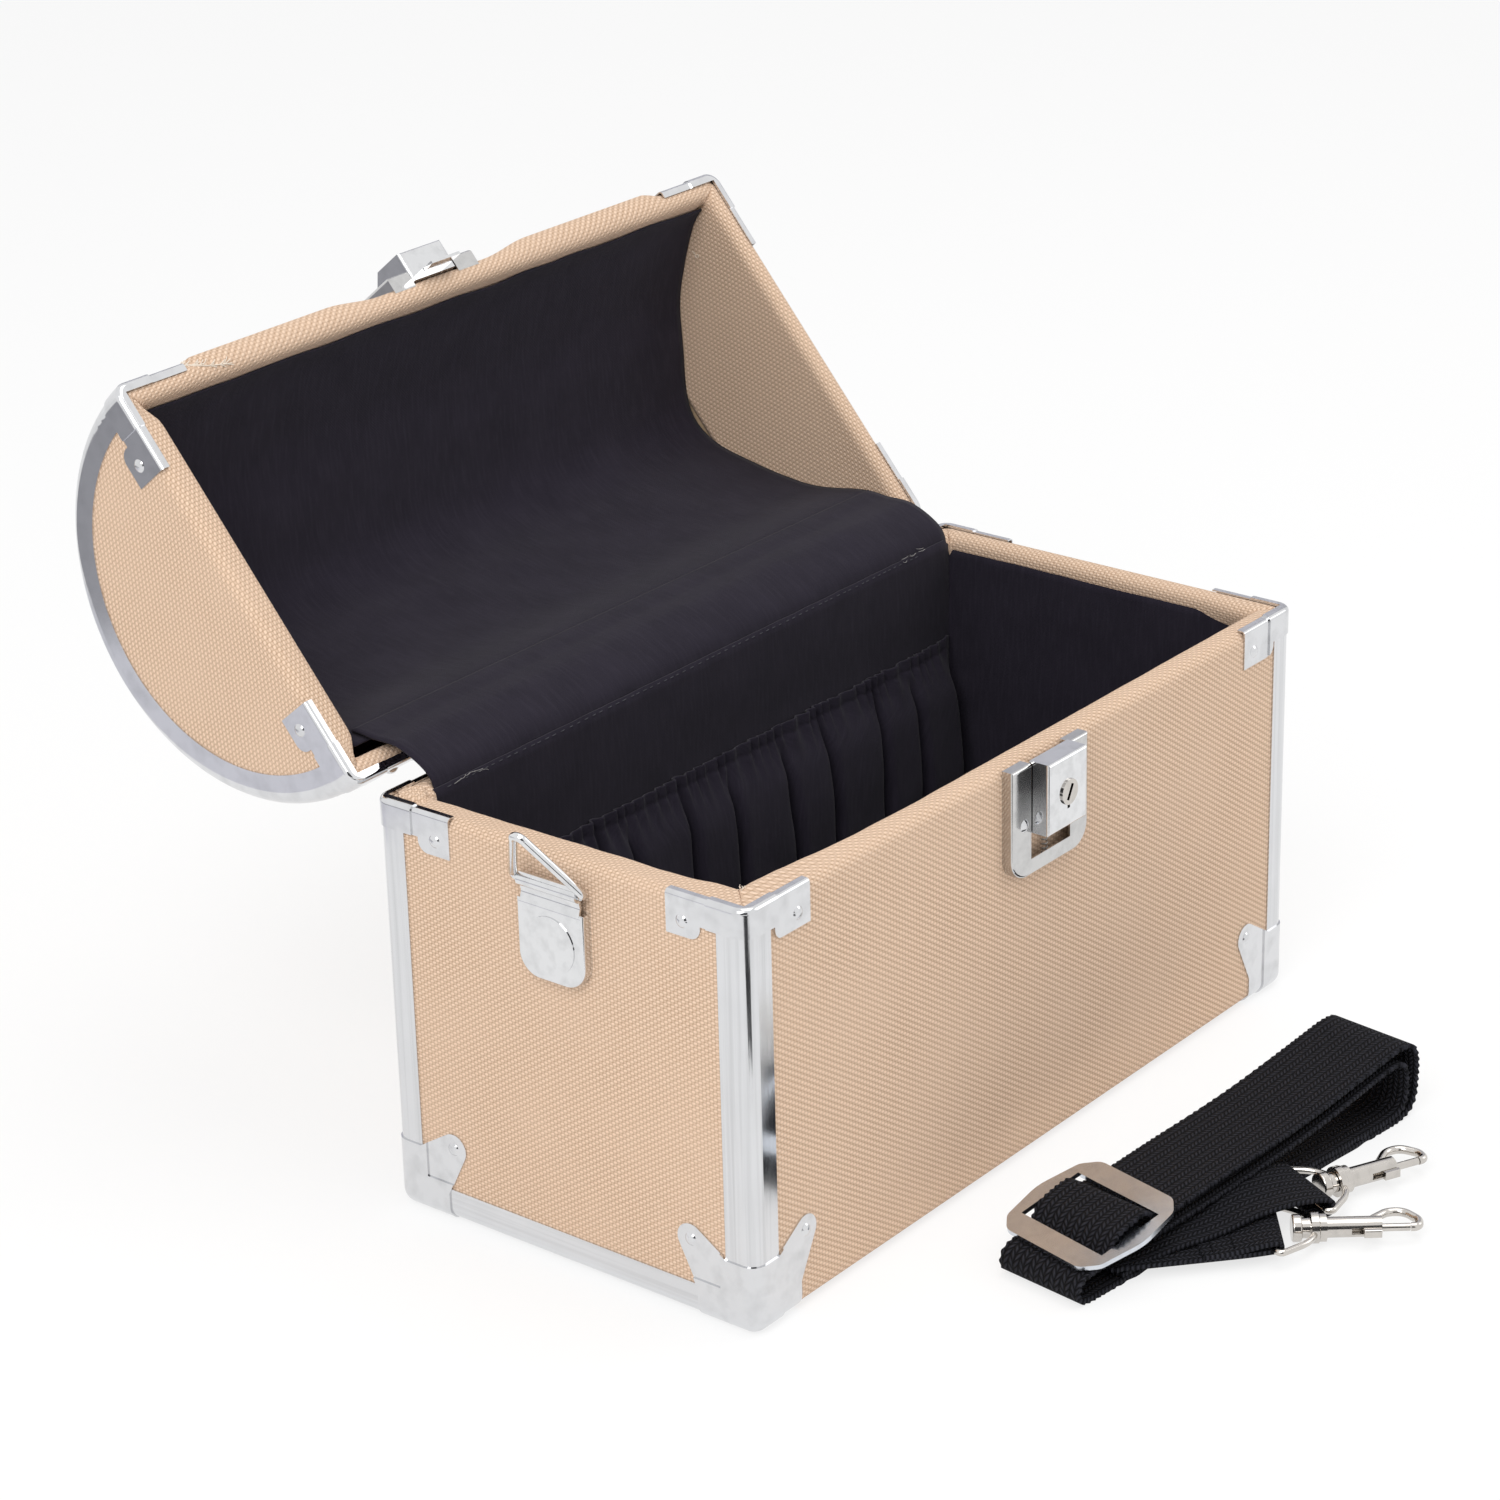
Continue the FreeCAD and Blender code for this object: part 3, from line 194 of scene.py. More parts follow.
def apply_all(piece):
    """Apply the piece's modifiers in order."""
    only(piece)
    for modifier in list(piece.modifiers):
        bpy.ops.object.modifier_apply(modifier=modifier.name)


def cloth(name, rows, thickness, finish, flip=False, place=None):
    """Sheet of cloth on rows of points in millimetres, with a UV map of its own lengths."""
    width = len(rows[0])
    middle = width // 2
    points = [Vector(point) for row in rows for point in row]
    if place is not None:
        points = [place @ point for point in points]
    points = [point * millimetre for point in points]
    faces = []
    for row in range(len(rows) - 1):
        for column in range(width - 1):
            first = row * width + column
            face = (first, first + 1, first + width + 1, first + width)
            faces.append(face[::-1] if flip else face)
    mesh = bpy.data.meshes.new(name)
    mesh.from_pydata(points, [], faces)
    lengths = {}
    down = 0.0
    for row in range(len(rows)):
        start = row * width + middle
        if row:
            down += (points[start] - points[start - width]).length
        run = 0.0
        lengths[start] = (run, down)
        for spot in range(start + 1, start - middle + width):
            run += (points[spot] - points[spot - 1]).length
            lengths[spot] = (run, down)
        run = 0.0
        for spot in range(start - 1, start - middle - 1, -1):
            run -= (points[spot] - points[spot + 1]).length
            lengths[spot] = (run, down)
    weave = mesh.uv_layers.new(name="Weave")
    for loop in mesh.loops:
        weave.data[loop.index].uv = lengths[loop.vertex_index]
    mesh.materials.append(finish)
    piece = bpy.data.objects.new(name, mesh)
    bpy.context.collection.objects.link(piece)
    only(piece)
    bpy.ops.object.shade_smooth()
    thick = piece.modifiers.new("thickness", "SOLIDIFY")
    thick.thickness = thickness * millimetre
    thick.offset = -1.0
    apply_all(piece)
    return piece


# Finishes: pairs of colours are a darker and a paler shade, pitches are in metres

canvas_yarn = ((0.80, 0.585, 0.43), (0.89, 0.68, 0.52))
# Painted shade for the hollows between the canvas yarns
canvas_hollow_painted_shade = (0.47, 0.305, 0.195)
canvas_handled = (0.77, 0.565, 0.42)
cotton_shades = ((0.0140, 0.0118, 0.0190), (0.0265, 0.0225, 0.0345))
cotton_slubs = (0.034, 0.0295, 0.043)
cotton_pitch = 0.00055
webbing_yarn = ((0.0125, 0.0128, 0.0172), (0.045, 0.0455, 0.058))
# Painted shade for the hollows between the webbing's knobs
webbing_hollow_painted_shade = (0.0012, 0.0012, 0.0015)
webbing_rib = 0.0021
webbing_pick = 0.0017
board_shades = ((0.33, 0.22, 0.13), (0.52, 0.38, 0.25))
steel = (0.74, 0.745, 0.76)
bright_tone = (0.775, 0.78, 0.79)
warm_tone = (0.64, 0.608, 0.57)
dull_tone = (0.63, 0.625, 0.62)
bluish_tone = (0.70, 0.735, 0.79)
dark_wire = (0.42, 0.41, 0.4)


def value(tree, operation, *terms):
    """Math node on sockets or numbers, and its result."""
    step = tree.nodes.new("ShaderNodeMath")
    step.operation = operation
    for socket, term in zip(step.inputs, terms):
        if isinstance(term, (int, float)):
            socket.default_value = term
        else:
            tree.links.new(term, socket)
    return step.outputs[0]


def spread(tree, source, low, high, start=0.0, end=1.0):
    """Map a value from one range to another."""
    step = tree.nodes.new("ShaderNodeMapRange")
    tree.links.new(source, step.inputs["Value"])
    step.inputs["From Min"].default_value = start
    step.inputs["From Max"].default_value = end
    step.inputs["To Min"].default_value = low
    step.inputs["To Max"].default_value = high
    return step.outputs["Result"]


def mixed(tree, share, first, second):
    """Colour between two, by a share."""
    step = tree.nodes.new("ShaderNodeMix")
    step.data_type = "RGBA"
    tree.links.new(share, step.inputs[0])
    for socket, colour in ((step.inputs[6], first), (step.inputs[7], second)):
        if isinstance(colour, tuple):
            socket.default_value = colour + (1.0,)
        else:
            tree.links.new(colour, socket)
    return step.outputs[2]


def speckle(tree, place, scale, detail=2.0):
    """Noise at a place, as a value from 0 to 1."""
    step = tree.nodes.new("ShaderNodeTexNoise")
    tree.links.new(place, step.inputs["Vector"])
    step.inputs["Scale"].default_value = scale
    step.inputs["Detail"].default_value = detail
    return step.outputs["Fac"]


def scaled(tree, source, scale):
    """Coordinates stretched along their axes."""
    step = tree.nodes.new("ShaderNodeMapping")
    tree.links.new(source, step.inputs["Vector"])
    step.inputs["Scale"].default_value = scale
    return step.outputs["Vector"]


def dented(tree, shader, height, distance, strength):
    """Bump on a shader from a height."""
    step = tree.nodes.new("ShaderNodeBump")
    step.inputs["Strength"].default_value = strength
    step.inputs["Distance"].default_value = distance
    tree.links.new(height, step.inputs["Height"])
    tree.links.new(step.outputs["Normal"], shader.inputs["Normal"])


def new_finish(name):
    """Empty material with its shader and its coordinates."""
    finish = bpy.data.materials.new(name)
    finish.use_nodes = True
    tree = finish.node_tree
    shader = tree.nodes["Principled BSDF"]
    place = tree.nodes.new("ShaderNodeTexCoord")
    return finish, tree, shader, place


def pillows(tree, place, across, along, low):
    """Plain weave: yarns that cross over and under, as small raised cells."""
    cells = scaled(tree, place, (1.0 / across, 1.0 / along, 1.0))
    split = tree.nodes.new("ShaderNodeSeparateXYZ")
    tree.links.new(cells, split.inputs[0])
    wave_u = value(tree, "SINE", value(tree, "MULTIPLY", split.outputs[0], math.pi))
    wave_v = value(tree, "SINE", value(tree, "MULTIPLY", split.outputs[1], math.pi))
    product = value(tree, "MULTIPLY", wave_u, wave_v)
    swell = value(tree, "POWER", value(tree, "ABSOLUTE", product), 0.5)
    upper = value(tree, "GREATER_THAN", product, 0.0)
    return value(tree, "MULTIPLY", swell, spread(tree, upper, low, 1.0)), split


def canvas_finish(name, across, along, ribbed):
    """Beige cotton canvas in plain weave, with painted shade in the hollows between its yarns; by a share,
    one slant of its crossings stands out as ribs, in the bump and as painted light and shade.
    """
    finish, tree, shader, place = new_finish(name)
    cells, split = pillows(tree, place.outputs["UV"], across, along, 0.55)
    slant = value(tree, "SUBTRACT", split.outputs[1], split.outputs[0])
    wave = value(tree, "COSINE", value(tree, "MULTIPLY", slant, math.pi))
    # The ribs along one slant are partly relief in the bump and partly painted light and shade from one side
    # in the colour.
    ridge = value(tree, "MULTIPLY", spread(tree, wave, 0.0, 1.0, -1.0, 1.0), ribbed)
    height = value(tree, "ADD", value(tree, "MULTIPLY", cells, 1.0 - ribbed), ridge)
    slub = speckle(tree, scaled(tree, place.outputs["UV"], (180.0, 900.0, 1.0)), 1.0)
    cloud = speckle(tree, place.outputs["UV"], 24.0, 3.0)
    yarn = mixed(tree, slub, *canvas_yarn)
    # Painted shade: the colour darkens from the yarn tops into the hollows between them.
    yarns_with_painted_shade = mixed(tree, spread(tree, height, 0.0, 1.0, 0.1, 0.7), canvas_hollow_painted_shade, yarn)
    # Random handling wear, laid over the painted shade.
    wear_and_painted_shade = mixed(tree, spread(tree, cloud, 0.0, 0.3, 0.35, 0.75), yarns_with_painted_shade, canvas_handled)
    tree.links.new(wear_and_painted_shade, shader.inputs["Base Color"])
    shader.inputs["Roughness"].default_value = 0.92
    shader.inputs["Specular IOR Level"].default_value = 0.18
    shader.inputs["Sheen Weight"].default_value = 0.08
    dented(tree, shader, height, 0.00034, 0.8)
    return finish


def lining_finish():
    """Near-black cotton, fine weave, a little dusty."""
    finish, tree, shader, place = new_finish("black_cotton")
    height = pillows(tree, place.outputs["UV"], cotton_pitch, cotton_pitch, 0.7)[0]
    dust = speckle(tree, place.outputs["UV"], 60.0, 6.0)
    thread = speckle(tree, scaled(tree, place.outputs["UV"], (900.0, 90.0, 1.0)), 1.0)
    dark = mixed(tree, dust, *cotton_shades)
    shade = mixed(tree, spread(tree, thread, 0.0, 0.45, 0.45, 0.8), dark, cotton_slubs)
    tree.links.new(shade, shader.inputs["Base Color"])
    shader.inputs["Roughness"].default_value = 0.95
    shader.inputs["Specular IOR Level"].default_value = 0.1
    shader.inputs["Sheen Weight"].default_value = 0.06
    shader.inputs["Sheen Roughness"].default_value = 0.5
    dented(tree, shader, height, 0.00012, 0.5)
    return finish


def webbing_finish():
    """Black woven webbing with chevron ribs along it, painted highlights on its knobs and painted shade in
    its hollows.
    """
    finish, tree, shader, place = new_finish("black_webbing")
    split = tree.nodes.new("ShaderNodeSeparateXYZ")
    tree.links.new(place.outputs["UV"], split.inputs[0])
    rib = value(tree, "MULTIPLY", split.outputs[0], 1.0 / webbing_rib)
    slope = value(tree, "PINGPONG", rib, 1.0)
    step = value(tree, "MULTIPLY", split.outputs[1], 1.0 / webbing_pick)
    wave_u = value(tree, "SINE", value(tree, "MULTIPLY", rib, math.pi))
    wave_v = value(tree, "SINE", value(tree, "MULTIPLY", value(tree, "ADD", step, slope), math.pi))
    swell = value(tree, "POWER", value(tree, "ABSOLUTE", value(tree, "MULTIPLY", wave_u, wave_v)), 0.85)
    fuzz = speckle(tree, scaled(tree, place.outputs["UV"], (1500.0, 500.0, 1.0)), 1.0)
    yarn = mixed(tree, fuzz, *webbing_yarn)
    # Painted highlights on the knobs and painted shade in the hollows between them.
    shade = mixed(tree, swell, webbing_hollow_painted_shade, yarn)
    tree.links.new(shade, shader.inputs["Base Color"])
    shader.inputs["Roughness"].default_value = 0.8
    shader.inputs["Specular IOR Level"].default_value = 0.12
    dented(tree, shader, swell, 0.0009, 1.0)
    return finish


def plated_finish(name, colour, rough, grain, depth):
    """Bright plated sheet with a drawn grain and faint handling marks."""
    finish, tree, shader, place = new_finish(name)
    drawn = speckle(tree, scaled(tree, place.outputs["Object"], grain), 1.0, 3.0)
    marks = speckle(tree, place.outputs["Object"], 55.0, 5.0)
    wear = value(tree, "ADD", spread(tree, drawn, -0.05, 0.05), spread(tree, marks, -0.04, 0.07, 0.35, 0.75))
    tree.links.new(value(tree, "ADD", wear, rough), shader.inputs["Roughness"])
    darker = tuple(0.9 * channel for channel in colour)
    streak = tuple(0.8 * channel for channel in colour)
    tone = mixed(tree, marks, colour, darker)
    streaked = mixed(tree, spread(tree, drawn, 0.0, 0.8, 0.45, 0.75), tone, streak)
    tree.links.new(streaked, shader.inputs["Base Color"])
    shader.inputs["Metallic"].default_value = 1.0
    dented(tree, shader, drawn, 0.00003, depth)
    return finish


def board_finish():
    """Pale fibre board with a fine grain."""
    finish, tree, shader, place = new_finish("fibre_board")
    grain = speckle(tree, scaled(tree, place.outputs["Object"], (40.0, 900.0, 900.0)), 1.0, 4.0)
    tree.links.new(mixed(tree, grain, *board_shades), shader.inputs["Base Color"])
    shader.inputs["Roughness"].default_value = 0.85
    dented(tree, shader, grain, 0.0001, 0.4)
    return finish


canvas = canvas_finish("ribbed_canvas", across=0.00148, along=0.00101, ribbed=0.29)
end_canvas = canvas_finish("plain_canvas", across=0.0014, along=0.00098, ribbed=0.14)
cotton = lining_finish()
webbing = webbing_finish()
board = board_finish()
upright_steel = plated_finish("drawn_steel_upright", steel, 0.12, (700.0, 700.0, 9.0), 0.25)
bottom_steel = plated_finish("drawn_steel_bottom", steel, 0.14, (700.0, 9.0, 700.0), 0.25)
pressed_steel = plated_finish("pressed_steel", steel, 0.11, (160.0, 160.0, 160.0), 0.08)
bright_steel = plated_finish("bright_plate", bright_tone, 0.09, (220.0, 220.0, 220.0), 0.07)
nickel = plated_finish("warm_nickel", warm_tone, 0.13, (260.0, 260.0, 260.0), 0.15)
lock_steel = plated_finish("lock_plate_steel", dull_tone, 0.12, (240.0, 240.0, 240.0), 0.1)
buckle_plate = plated_finish("buckle_plate", bluish_tone, 0.2, (220.0, 220.0, 220.0), 0.07)
spring_wire = plated_finish("spring_wire", dark_wire, 0.32, (300.0, 300.0, 300.0), 0.2)


def paint(names, finish):
    """Give CAD nodes a finish."""
    for name in names:
        mesh = nodes[name].data
        mesh.materials.clear()
        mesh.materials.append(finish)


corners = ("front_left", "front_right", "back_left", "back_right")
ends = ("left", "right")
pressed_corners = ("bottom_cap_", "base_clip_", "lid_clip_")
paint(["corner_angle_" + corner for corner in corners], upright_steel)
paint(["bottom_angle_" + end for end in ends], bottom_steel)
paint(["lid_arc_trim_" + end for end in ends], pressed_steel)
paint([kind + corner for kind in pressed_corners for corner in corners], pressed_steel)
paint(["base_rivets", "lid_rivets", "hinge_base_leaves", "hinge_lid_leaves", "hinge_pins"], pressed_steel)
paint(["lock_plate", "catch_plate"], lock_steel)
paint(["lock_slider", "catch_block"], bright_steel)
paint(["slide_buckle"], buckle_plate)
paint([kind + end for kind in ("ring_plate_", "strap_ring_") for end in ends], bright_steel)
paint(["key_cylinder", "swivel_eyes"], nickel)
paint([kind + number for kind in ("snap_hook_", "hook_bolt_") for number in "12"], nickel)
paint(["lock_spring"], spring_wire)
paint([name for name in nodes if "board" in name], board)


# Canvas over the base, with rims that bulge further in than their boards

front_bulge = 2.2
front_bulge_left = 0.9
front_bulge_corner = 3.9
left_bulge = 4.4
left_bulge_middle = 0.8
left_bulge_corner = 1.8
right_bulge = 0.8
right_bulge_corner = 1.4
bulge_waviness = 0.06
bulge_pitch = 9.0


def wall_line():
    """Canvas over one wall, from its tuck inside, over the rim and down round its lower edge."""
    tuck_end = rim_height - canvas_tuck
    bead_end = rim_height - rim_round
    tuck = [(wall, z, ramp(tuck_end, bead_end, z)) for z in spaced(tuck_end, bead_end, tuck_steps)]
    face = [(0.0, z, 0.0) for z in spaced(bead_end, underside + corner_round, wall_steps)]
    return tuck[:-1] + bead(rim_height, 1)[::-1] + face[1:] + bottom_turn()[1:]


def bottom_turn():
    """Rounded lower edge of a wall."""
    line = []
    for angle in spaced(0.0, 90.0, 6):
        turn = math.radians(angle)
        inset = corner_round * (1.0 - math.cos(turn))
        line.append((inset, underside + corner_round * (1.0 - math.sin(turn)), 0.0))
    return line


def front_padding(x):
    """Bulge along the front, widest at the left corner."""
    left = front_bulge_left * ramp(-55.0, -90.0, x)
    return front_bulge + left + front_bulge_corner * ramp(-85.0, -136.0, x)


def back_padding(x):
    """Bulge along the back, where only the corners have one."""
    return left_bulge * ramp(-130.0, -140.0, x) + right_bulge * ramp(130.0, 140.0, x)


def left_padding(y):
    """Bulge along the left end."""
    middle = left_bulge_middle * ramp(25.0, -20.0, y)
    return left_bulge + middle + left_bulge_corner * ramp(-40.0, -60.0, y)


def right_padding(y):
    """Bulge along the right end."""
    return right_bulge + right_bulge_corner * ramp(-40.0, -60.0, y)


def rim_row(across, half_side, spot, padding):
    """Points along one side at a spot of its profile: place along it, inset and height."""
    inset, z, share = spot
    row = []
    for station in across:
        extra = share * padding(side_place(station, half_side, inset)[0])
        along, draw = side_place(station, half_side, inset + extra)
        uneven = bulge_waviness * extra * ripple(along, half_side, inset, bulge_pitch)
        row.append((along, inset + extra + draw, z + uneven - mitre_dip(station, inset)))
    return row


def base_wrap():
    """One strip of canvas: inside the front rim, down, under the case, and up over the back rim."""
    across = stations(long_steps, corner_steps)
    side = wall_line()
    rows = []
    for spot in side:
        row = rim_row(across, half_length, spot, front_padding)
        rows.append([(along, inset - half_depth, z) for along, inset, z in row])
    flat = half_depth - corner_round
    for y in spaced(-flat, flat, 24)[1:-1]:
        row = []
        for station in across:
            along, draw = side_place(station, half_length, 0.0)
            row.append((along, y, underside + draw))
        rows.append(row)
    for spot in side[::-1]:
        row = rim_row(across, half_length, spot, back_padding)
        rows.append([(along, half_depth - inset, z) for along, inset, z in row])
    return cloth("canvas_wrap", rows, canvas_thickness, canvas, flip=True)


def base_end(side, name):
    """Canvas over one end of the base, turned over its rim."""
    padding = left_padding if side < 0 else right_padding
    rows = []
    for spot in wall_line():
        row = rim_row(stations(short_steps, corner_steps), half_depth, spot, padding)
        rows.append([(side * (half_length - inset), along, z) for along, inset, z in row])
    return cloth("canvas_end_" + name, rows, canvas_thickness, end_canvas, flip=side > 0)


# Canvas over the lid, drawn closed and turned open

lid_left_padding = 3.8
lid_padding_rise = 16.0
lid_swell = 2.4
lid_swell_rise = 34.0
clip_inner_end = 113.0
clip_cover = 8.0
catch_half_width = 27.0
swell_start = 50.0
inner_face_top = 62.0
outer_face_top = 67.0


def lid_front_swell(x, inset):
    """How far the lid's front rim swells outwards between its clips and the catch."""
    clip_outer_end = clip_inner_end + clip_cover
    between_clips = ramp(-clip_outer_end, -clip_inner_end, x) * ramp(clip_outer_end, clip_inner_end, x)
    return lid_swell * between_clips * ramp(catch_half_width, swell_start, abs(x)) * (1.0 - inset / wall)


def lid_dome():
    """Canvas over the dome, turned over the front and back rims."""
    inner = half_depth - wall
    rim_rise = math.asin(rim_round / half_depth)
    tuck_rise = [math.asin(height / inner) for height in spaced(lid_tuck, rim_round, bead_steps)]
    across = stations(long_steps, corner_steps)
    half_line = [("inside", rise) for rise in tuck_rise[:-1]]
    half_line += [("bead", spot) for spot in bead(lid_rim, -1)[::-1]]
    line = [(kind, spot, -1) for kind, spot in half_line]
    line += [("dome", rise, 1) for rise in spaced(rim_rise, math.pi - rim_rise, dome_steps)[1:-1]]
    line += [(kind, spot, 1) for kind, spot in half_line[::-1]]
    rows = []
    for kind, spot, side in line:
        row = []
        for station in across:
            if kind == "bead":
                inset, z = spot[:2]
                along, draw = side_place(station, half_length, inset)
                swell = lid_front_swell(along, inset) if side < 0 else 0.0
                y = side * (half_depth - inset - draw + swell)
                row.append((along, y, z + mitre_dip(station, inset)))
                continue
            if kind == "inside":
                along, draw = side_place(station, half_length, wall)
                radius = inner + draw
                row.append((along, side * radius * math.cos(spot), lid_rim + radius * math.sin(spot)))
                continue
            along, draw = side_place(station, half_length, 0.0)
            rise = half_depth * math.sin(spot)
            front = ramp(lid_swell_rise, rim_round, rise) if spot < math.pi / 2 else 0.0
            radius = half_depth - draw + front * lid_front_swell(along, 0.0)
            row.append((along, -radius * math.cos(spot), lid_rim + radius * math.sin(spot)))
        rows.append(row)
    return cloth("canvas_dome", rows, canvas_thickness, canvas, place=lid_turn)


def lid_end_padding(side, y):
    """How much further in than its board the canvas rim of a lid end bulges; only the left one does."""
    return lid_left_padding * ramp(66.0, 57.0, abs(y)) if side < 0 else 0.0


def lid_end(side, name):
    """Canvas over both faces of one half-round end of the lid, following its rounded arch edge."""
    flat_reach = half_depth - corner_round
    outer_reach = half_depth - corner_round * (1.0 - math.sin(half_corner))
    inner_reach = half_depth - wall - 0.2
    rows = []
    for height in spaced(inner_face_top, rim_round, 36)[:-1]:
        half = math.sqrt(inner_reach ** 2 - height ** 2)
        share = ramp(lid_padding_rise, rim_round, height)
        row = []
        for y in spaced(-half, half, end_steps):
            reach = wall + share * lid_end_padding(side, y)
            row.append((side * (half_length - reach), y, lid_rim + height))
        rows.append(row)
    for inset, z, share in bead(lid_rim, -1)[::-1]:
        row = []
        for station in stations(short_steps, corner_steps):
            along, draw = side_place(station, half_depth, inset)
            reach = inset + draw + share * lid_end_padding(side, along)
            row.append((side * (half_length - reach), along, z + mitre_dip(station, inset)))
        rows.append(row)
    for height in spaced(rim_round, outer_face_top, 44)[1:]:
        half = math.sqrt(outer_reach ** 2 - height ** 2)
        row = []
        for share in spaced(-1.0, 1.0, end_steps):
            over = max(0.0, math.hypot(half * share, height) - flat_reach)
            draw = corner_round - math.sqrt(corner_round ** 2 - over ** 2)
            row.append((side * (half_length - draw), half * share, lid_rim + height))
        rows.append(row)
    return cloth("canvas_lid_end_" + name, rows, canvas_thickness, end_canvas, flip=side < 0, place=lid_turn)


wrap = base_wrap()
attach(wrap, "base")
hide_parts("base_wrap_canvas")
dome = lid_dome()
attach(dome, "lid")
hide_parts("lid_dome_canvas")
for side, name in ((-1, "left"), (1, "right")):
    low = base_end(side, name)
    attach(low, "base")
    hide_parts("base_end_canvas_" + name)
    high = lid_end(side, name)
    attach(high, "lid")
    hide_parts("lid_end_canvas_" + name)


# Black cotton inside

lining_drop = 4.4
back_lining_rise = 3.7
lining_waviness = 0.4
lining_foot = 0.3
lining_bulge = 0.35
back_lean = 0.9
fold_places = (-112.0, -92.0, -68.6, -60.5, -46.6, -17.1, 7.0, 36.7, 59.8, 90.1, 111.1)
fold_steps = (0.0, 0.4, 0.8, 1.2, 1.7, 2.3, 3.1)
fold_depth = 6.0
pucker_pitch = 5.4
pocket_gap = 1.1


def base_lining():
    """Strip of lining round the four walls, meeting itself in the back right corner."""
    inset = wall + lining_thickness
    loop = []
    long_side = (half_length, 90)
    short_side = (half_depth, 46)
    sides = (("back", *long_side), ("left", *short_side), ("front", *long_side), ("right", *short_side))
    for name, half_side, steps in sides:
        for station in stations(steps, 3):
            along, draw = side_place(station, half_side, wall)
            reach = half_depth - inset - draw if name in ("back", "front") else half_length - inset - draw
            spots = {
                "back": (-along, reach),
                "left": (-reach, -along),
                "front": (along, -reach),
                "right": (reach, along),
            }
            loop.append(spots[name])
    rows = []
    for share in spaced(0.0, 1.0, 34):
        row = []
        for x, y in loop:
            back = ramp(60.0, 64.0, y) * ramp(141.5, 138.5, abs(x))
            wave = lining_waviness * ripple(x, y, 0.0, 9.0) * (1.0 - 0.5 * back)
            top = rim_height - lining_drop + back_lining_rise * back + wave
            z = floor_height + lining_foot + (top - floor_height - lining_foot) * share
            push = lining_bulge * (1.0 + ripple(x, y, z, 26.0)) * math.sin(math.pi * share) ** 0.5
            if abs(y) > 61.0:
                lean = back_lean * back * ramp(rim_height - 38.0, rim_height - 14.0, z)
                y -= math.copysign(push, y) + lean
            if abs(x) > 138.0:
                x -= math.copysign(push, x)
            row.append((x, y, z))
        rows.append(row)
    return cloth("wall_lining", rows, lining_thickness - 0.1, cotton, flip=True)


def floor_lining():
    """Lining laid on the floor of the base."""
    half_x = half_length - wall - lining_thickness - 0.4
    half_y = half_depth - wall - lining_thickness - 0.4
    rows = []
    for y in spaced(-half_y, half_y, 40):
        rows.append([
            (x, y, floor_height + lining_thickness + 0.25 * (1.0 + ripple(x, y, 0.0, 30.0)))
            for x in spaced(-half_x, half_x, 90)
        ])
    return cloth("floor_lining", rows, lining_thickness - 0.1, cotton)


def gathered_pocket():
    """Pocket on the back wall, drawn up by the elastic in its hem into uneven pleats."""
    wall_face = half_depth - wall - lining_thickness
    half = half_length - wall - lining_thickness - 2.2
    edges = [-half, *fold_places, half]
    columns = []
    for i, (start, end) in enumerate(zip(edges, edges[1:])):
        width = end - start
        near = [step for step in fold_steps if step < 0.4 * width]
        middle = spaced(near[-1], width - near[-1], max(2, round(width / 1.5)))[1:-1]
        for step in near + middle + [width - step for step in near[:0:-1]]:
            columns.append((i, min(step, width - step), start + step))
    columns.append((len(edges), 0.0, half))
    low = floor_height + lining_thickness + 0.6
    hem = rim_height - 42.0
    top = rim_height - 37.8
    heights = spaced(low, hem - 3.0, 30) + spaced(hem - 3.0, top, 14)[1:]
    rows = []
    for z in heights:
        share_up = min(1.0, (z - low) / (hem - low))
        belly = math.sin(math.pi * share_up) ** 0.7
        tight = ramp(hem - 15.0, hem, z)
        lip = max(0.0, (z - hem) / (top - hem))
        pinch = math.exp(-((z - hem) / 1.0) ** 2)
        row = []
        for i, edge, x in columns:
            sway = 1.8 * ripple(x, 0.0, z, 38.0) * (1.0 - 0.6 * tight)
            valley = math.exp(-(edge / (1.4 + 0.5 * belly)) ** 2)
            depth = fold_depth + 1.4 * noise.noise(Vector((i * 2.3, 0.5, z / 60.0)))
            ends = min(1.0, (half - abs(x)) / 7.0)
            panel = depth * (1.0 - valley) * (1.0 - 0.75 * tight) + 0.8 * ripple(x, 3.0, z, 17.0)
            y = wall_face - 1.2 - ends * (1.2 + 3.2 * belly + panel * (0.6 + 0.4 * belly))
            phase = 2.0 * math.pi * x / pucker_pitch + 5.0 * ripple(x, 0.0, 90.0, 15.0)
            pucker = math.sin(phase) * (0.8 + 0.7 * ripple(x, 7.0, 0.0, 8.0))
            y -= ends * (tight ** 2 * 1.2 * pucker + 0.3 * lip * pucker - 0.5 * lip - 0.25 * pinch)
            lift = lip * (0.5 * pucker + 0.5 * ripple(x, 1.0, 0.0, 3.3))
            row.append((x + ends * sway, min(y, wall_face - pocket_gap), z + lift))
        rows.append(row)
    return cloth("pocket_cloth", rows, 0.7, cotton)


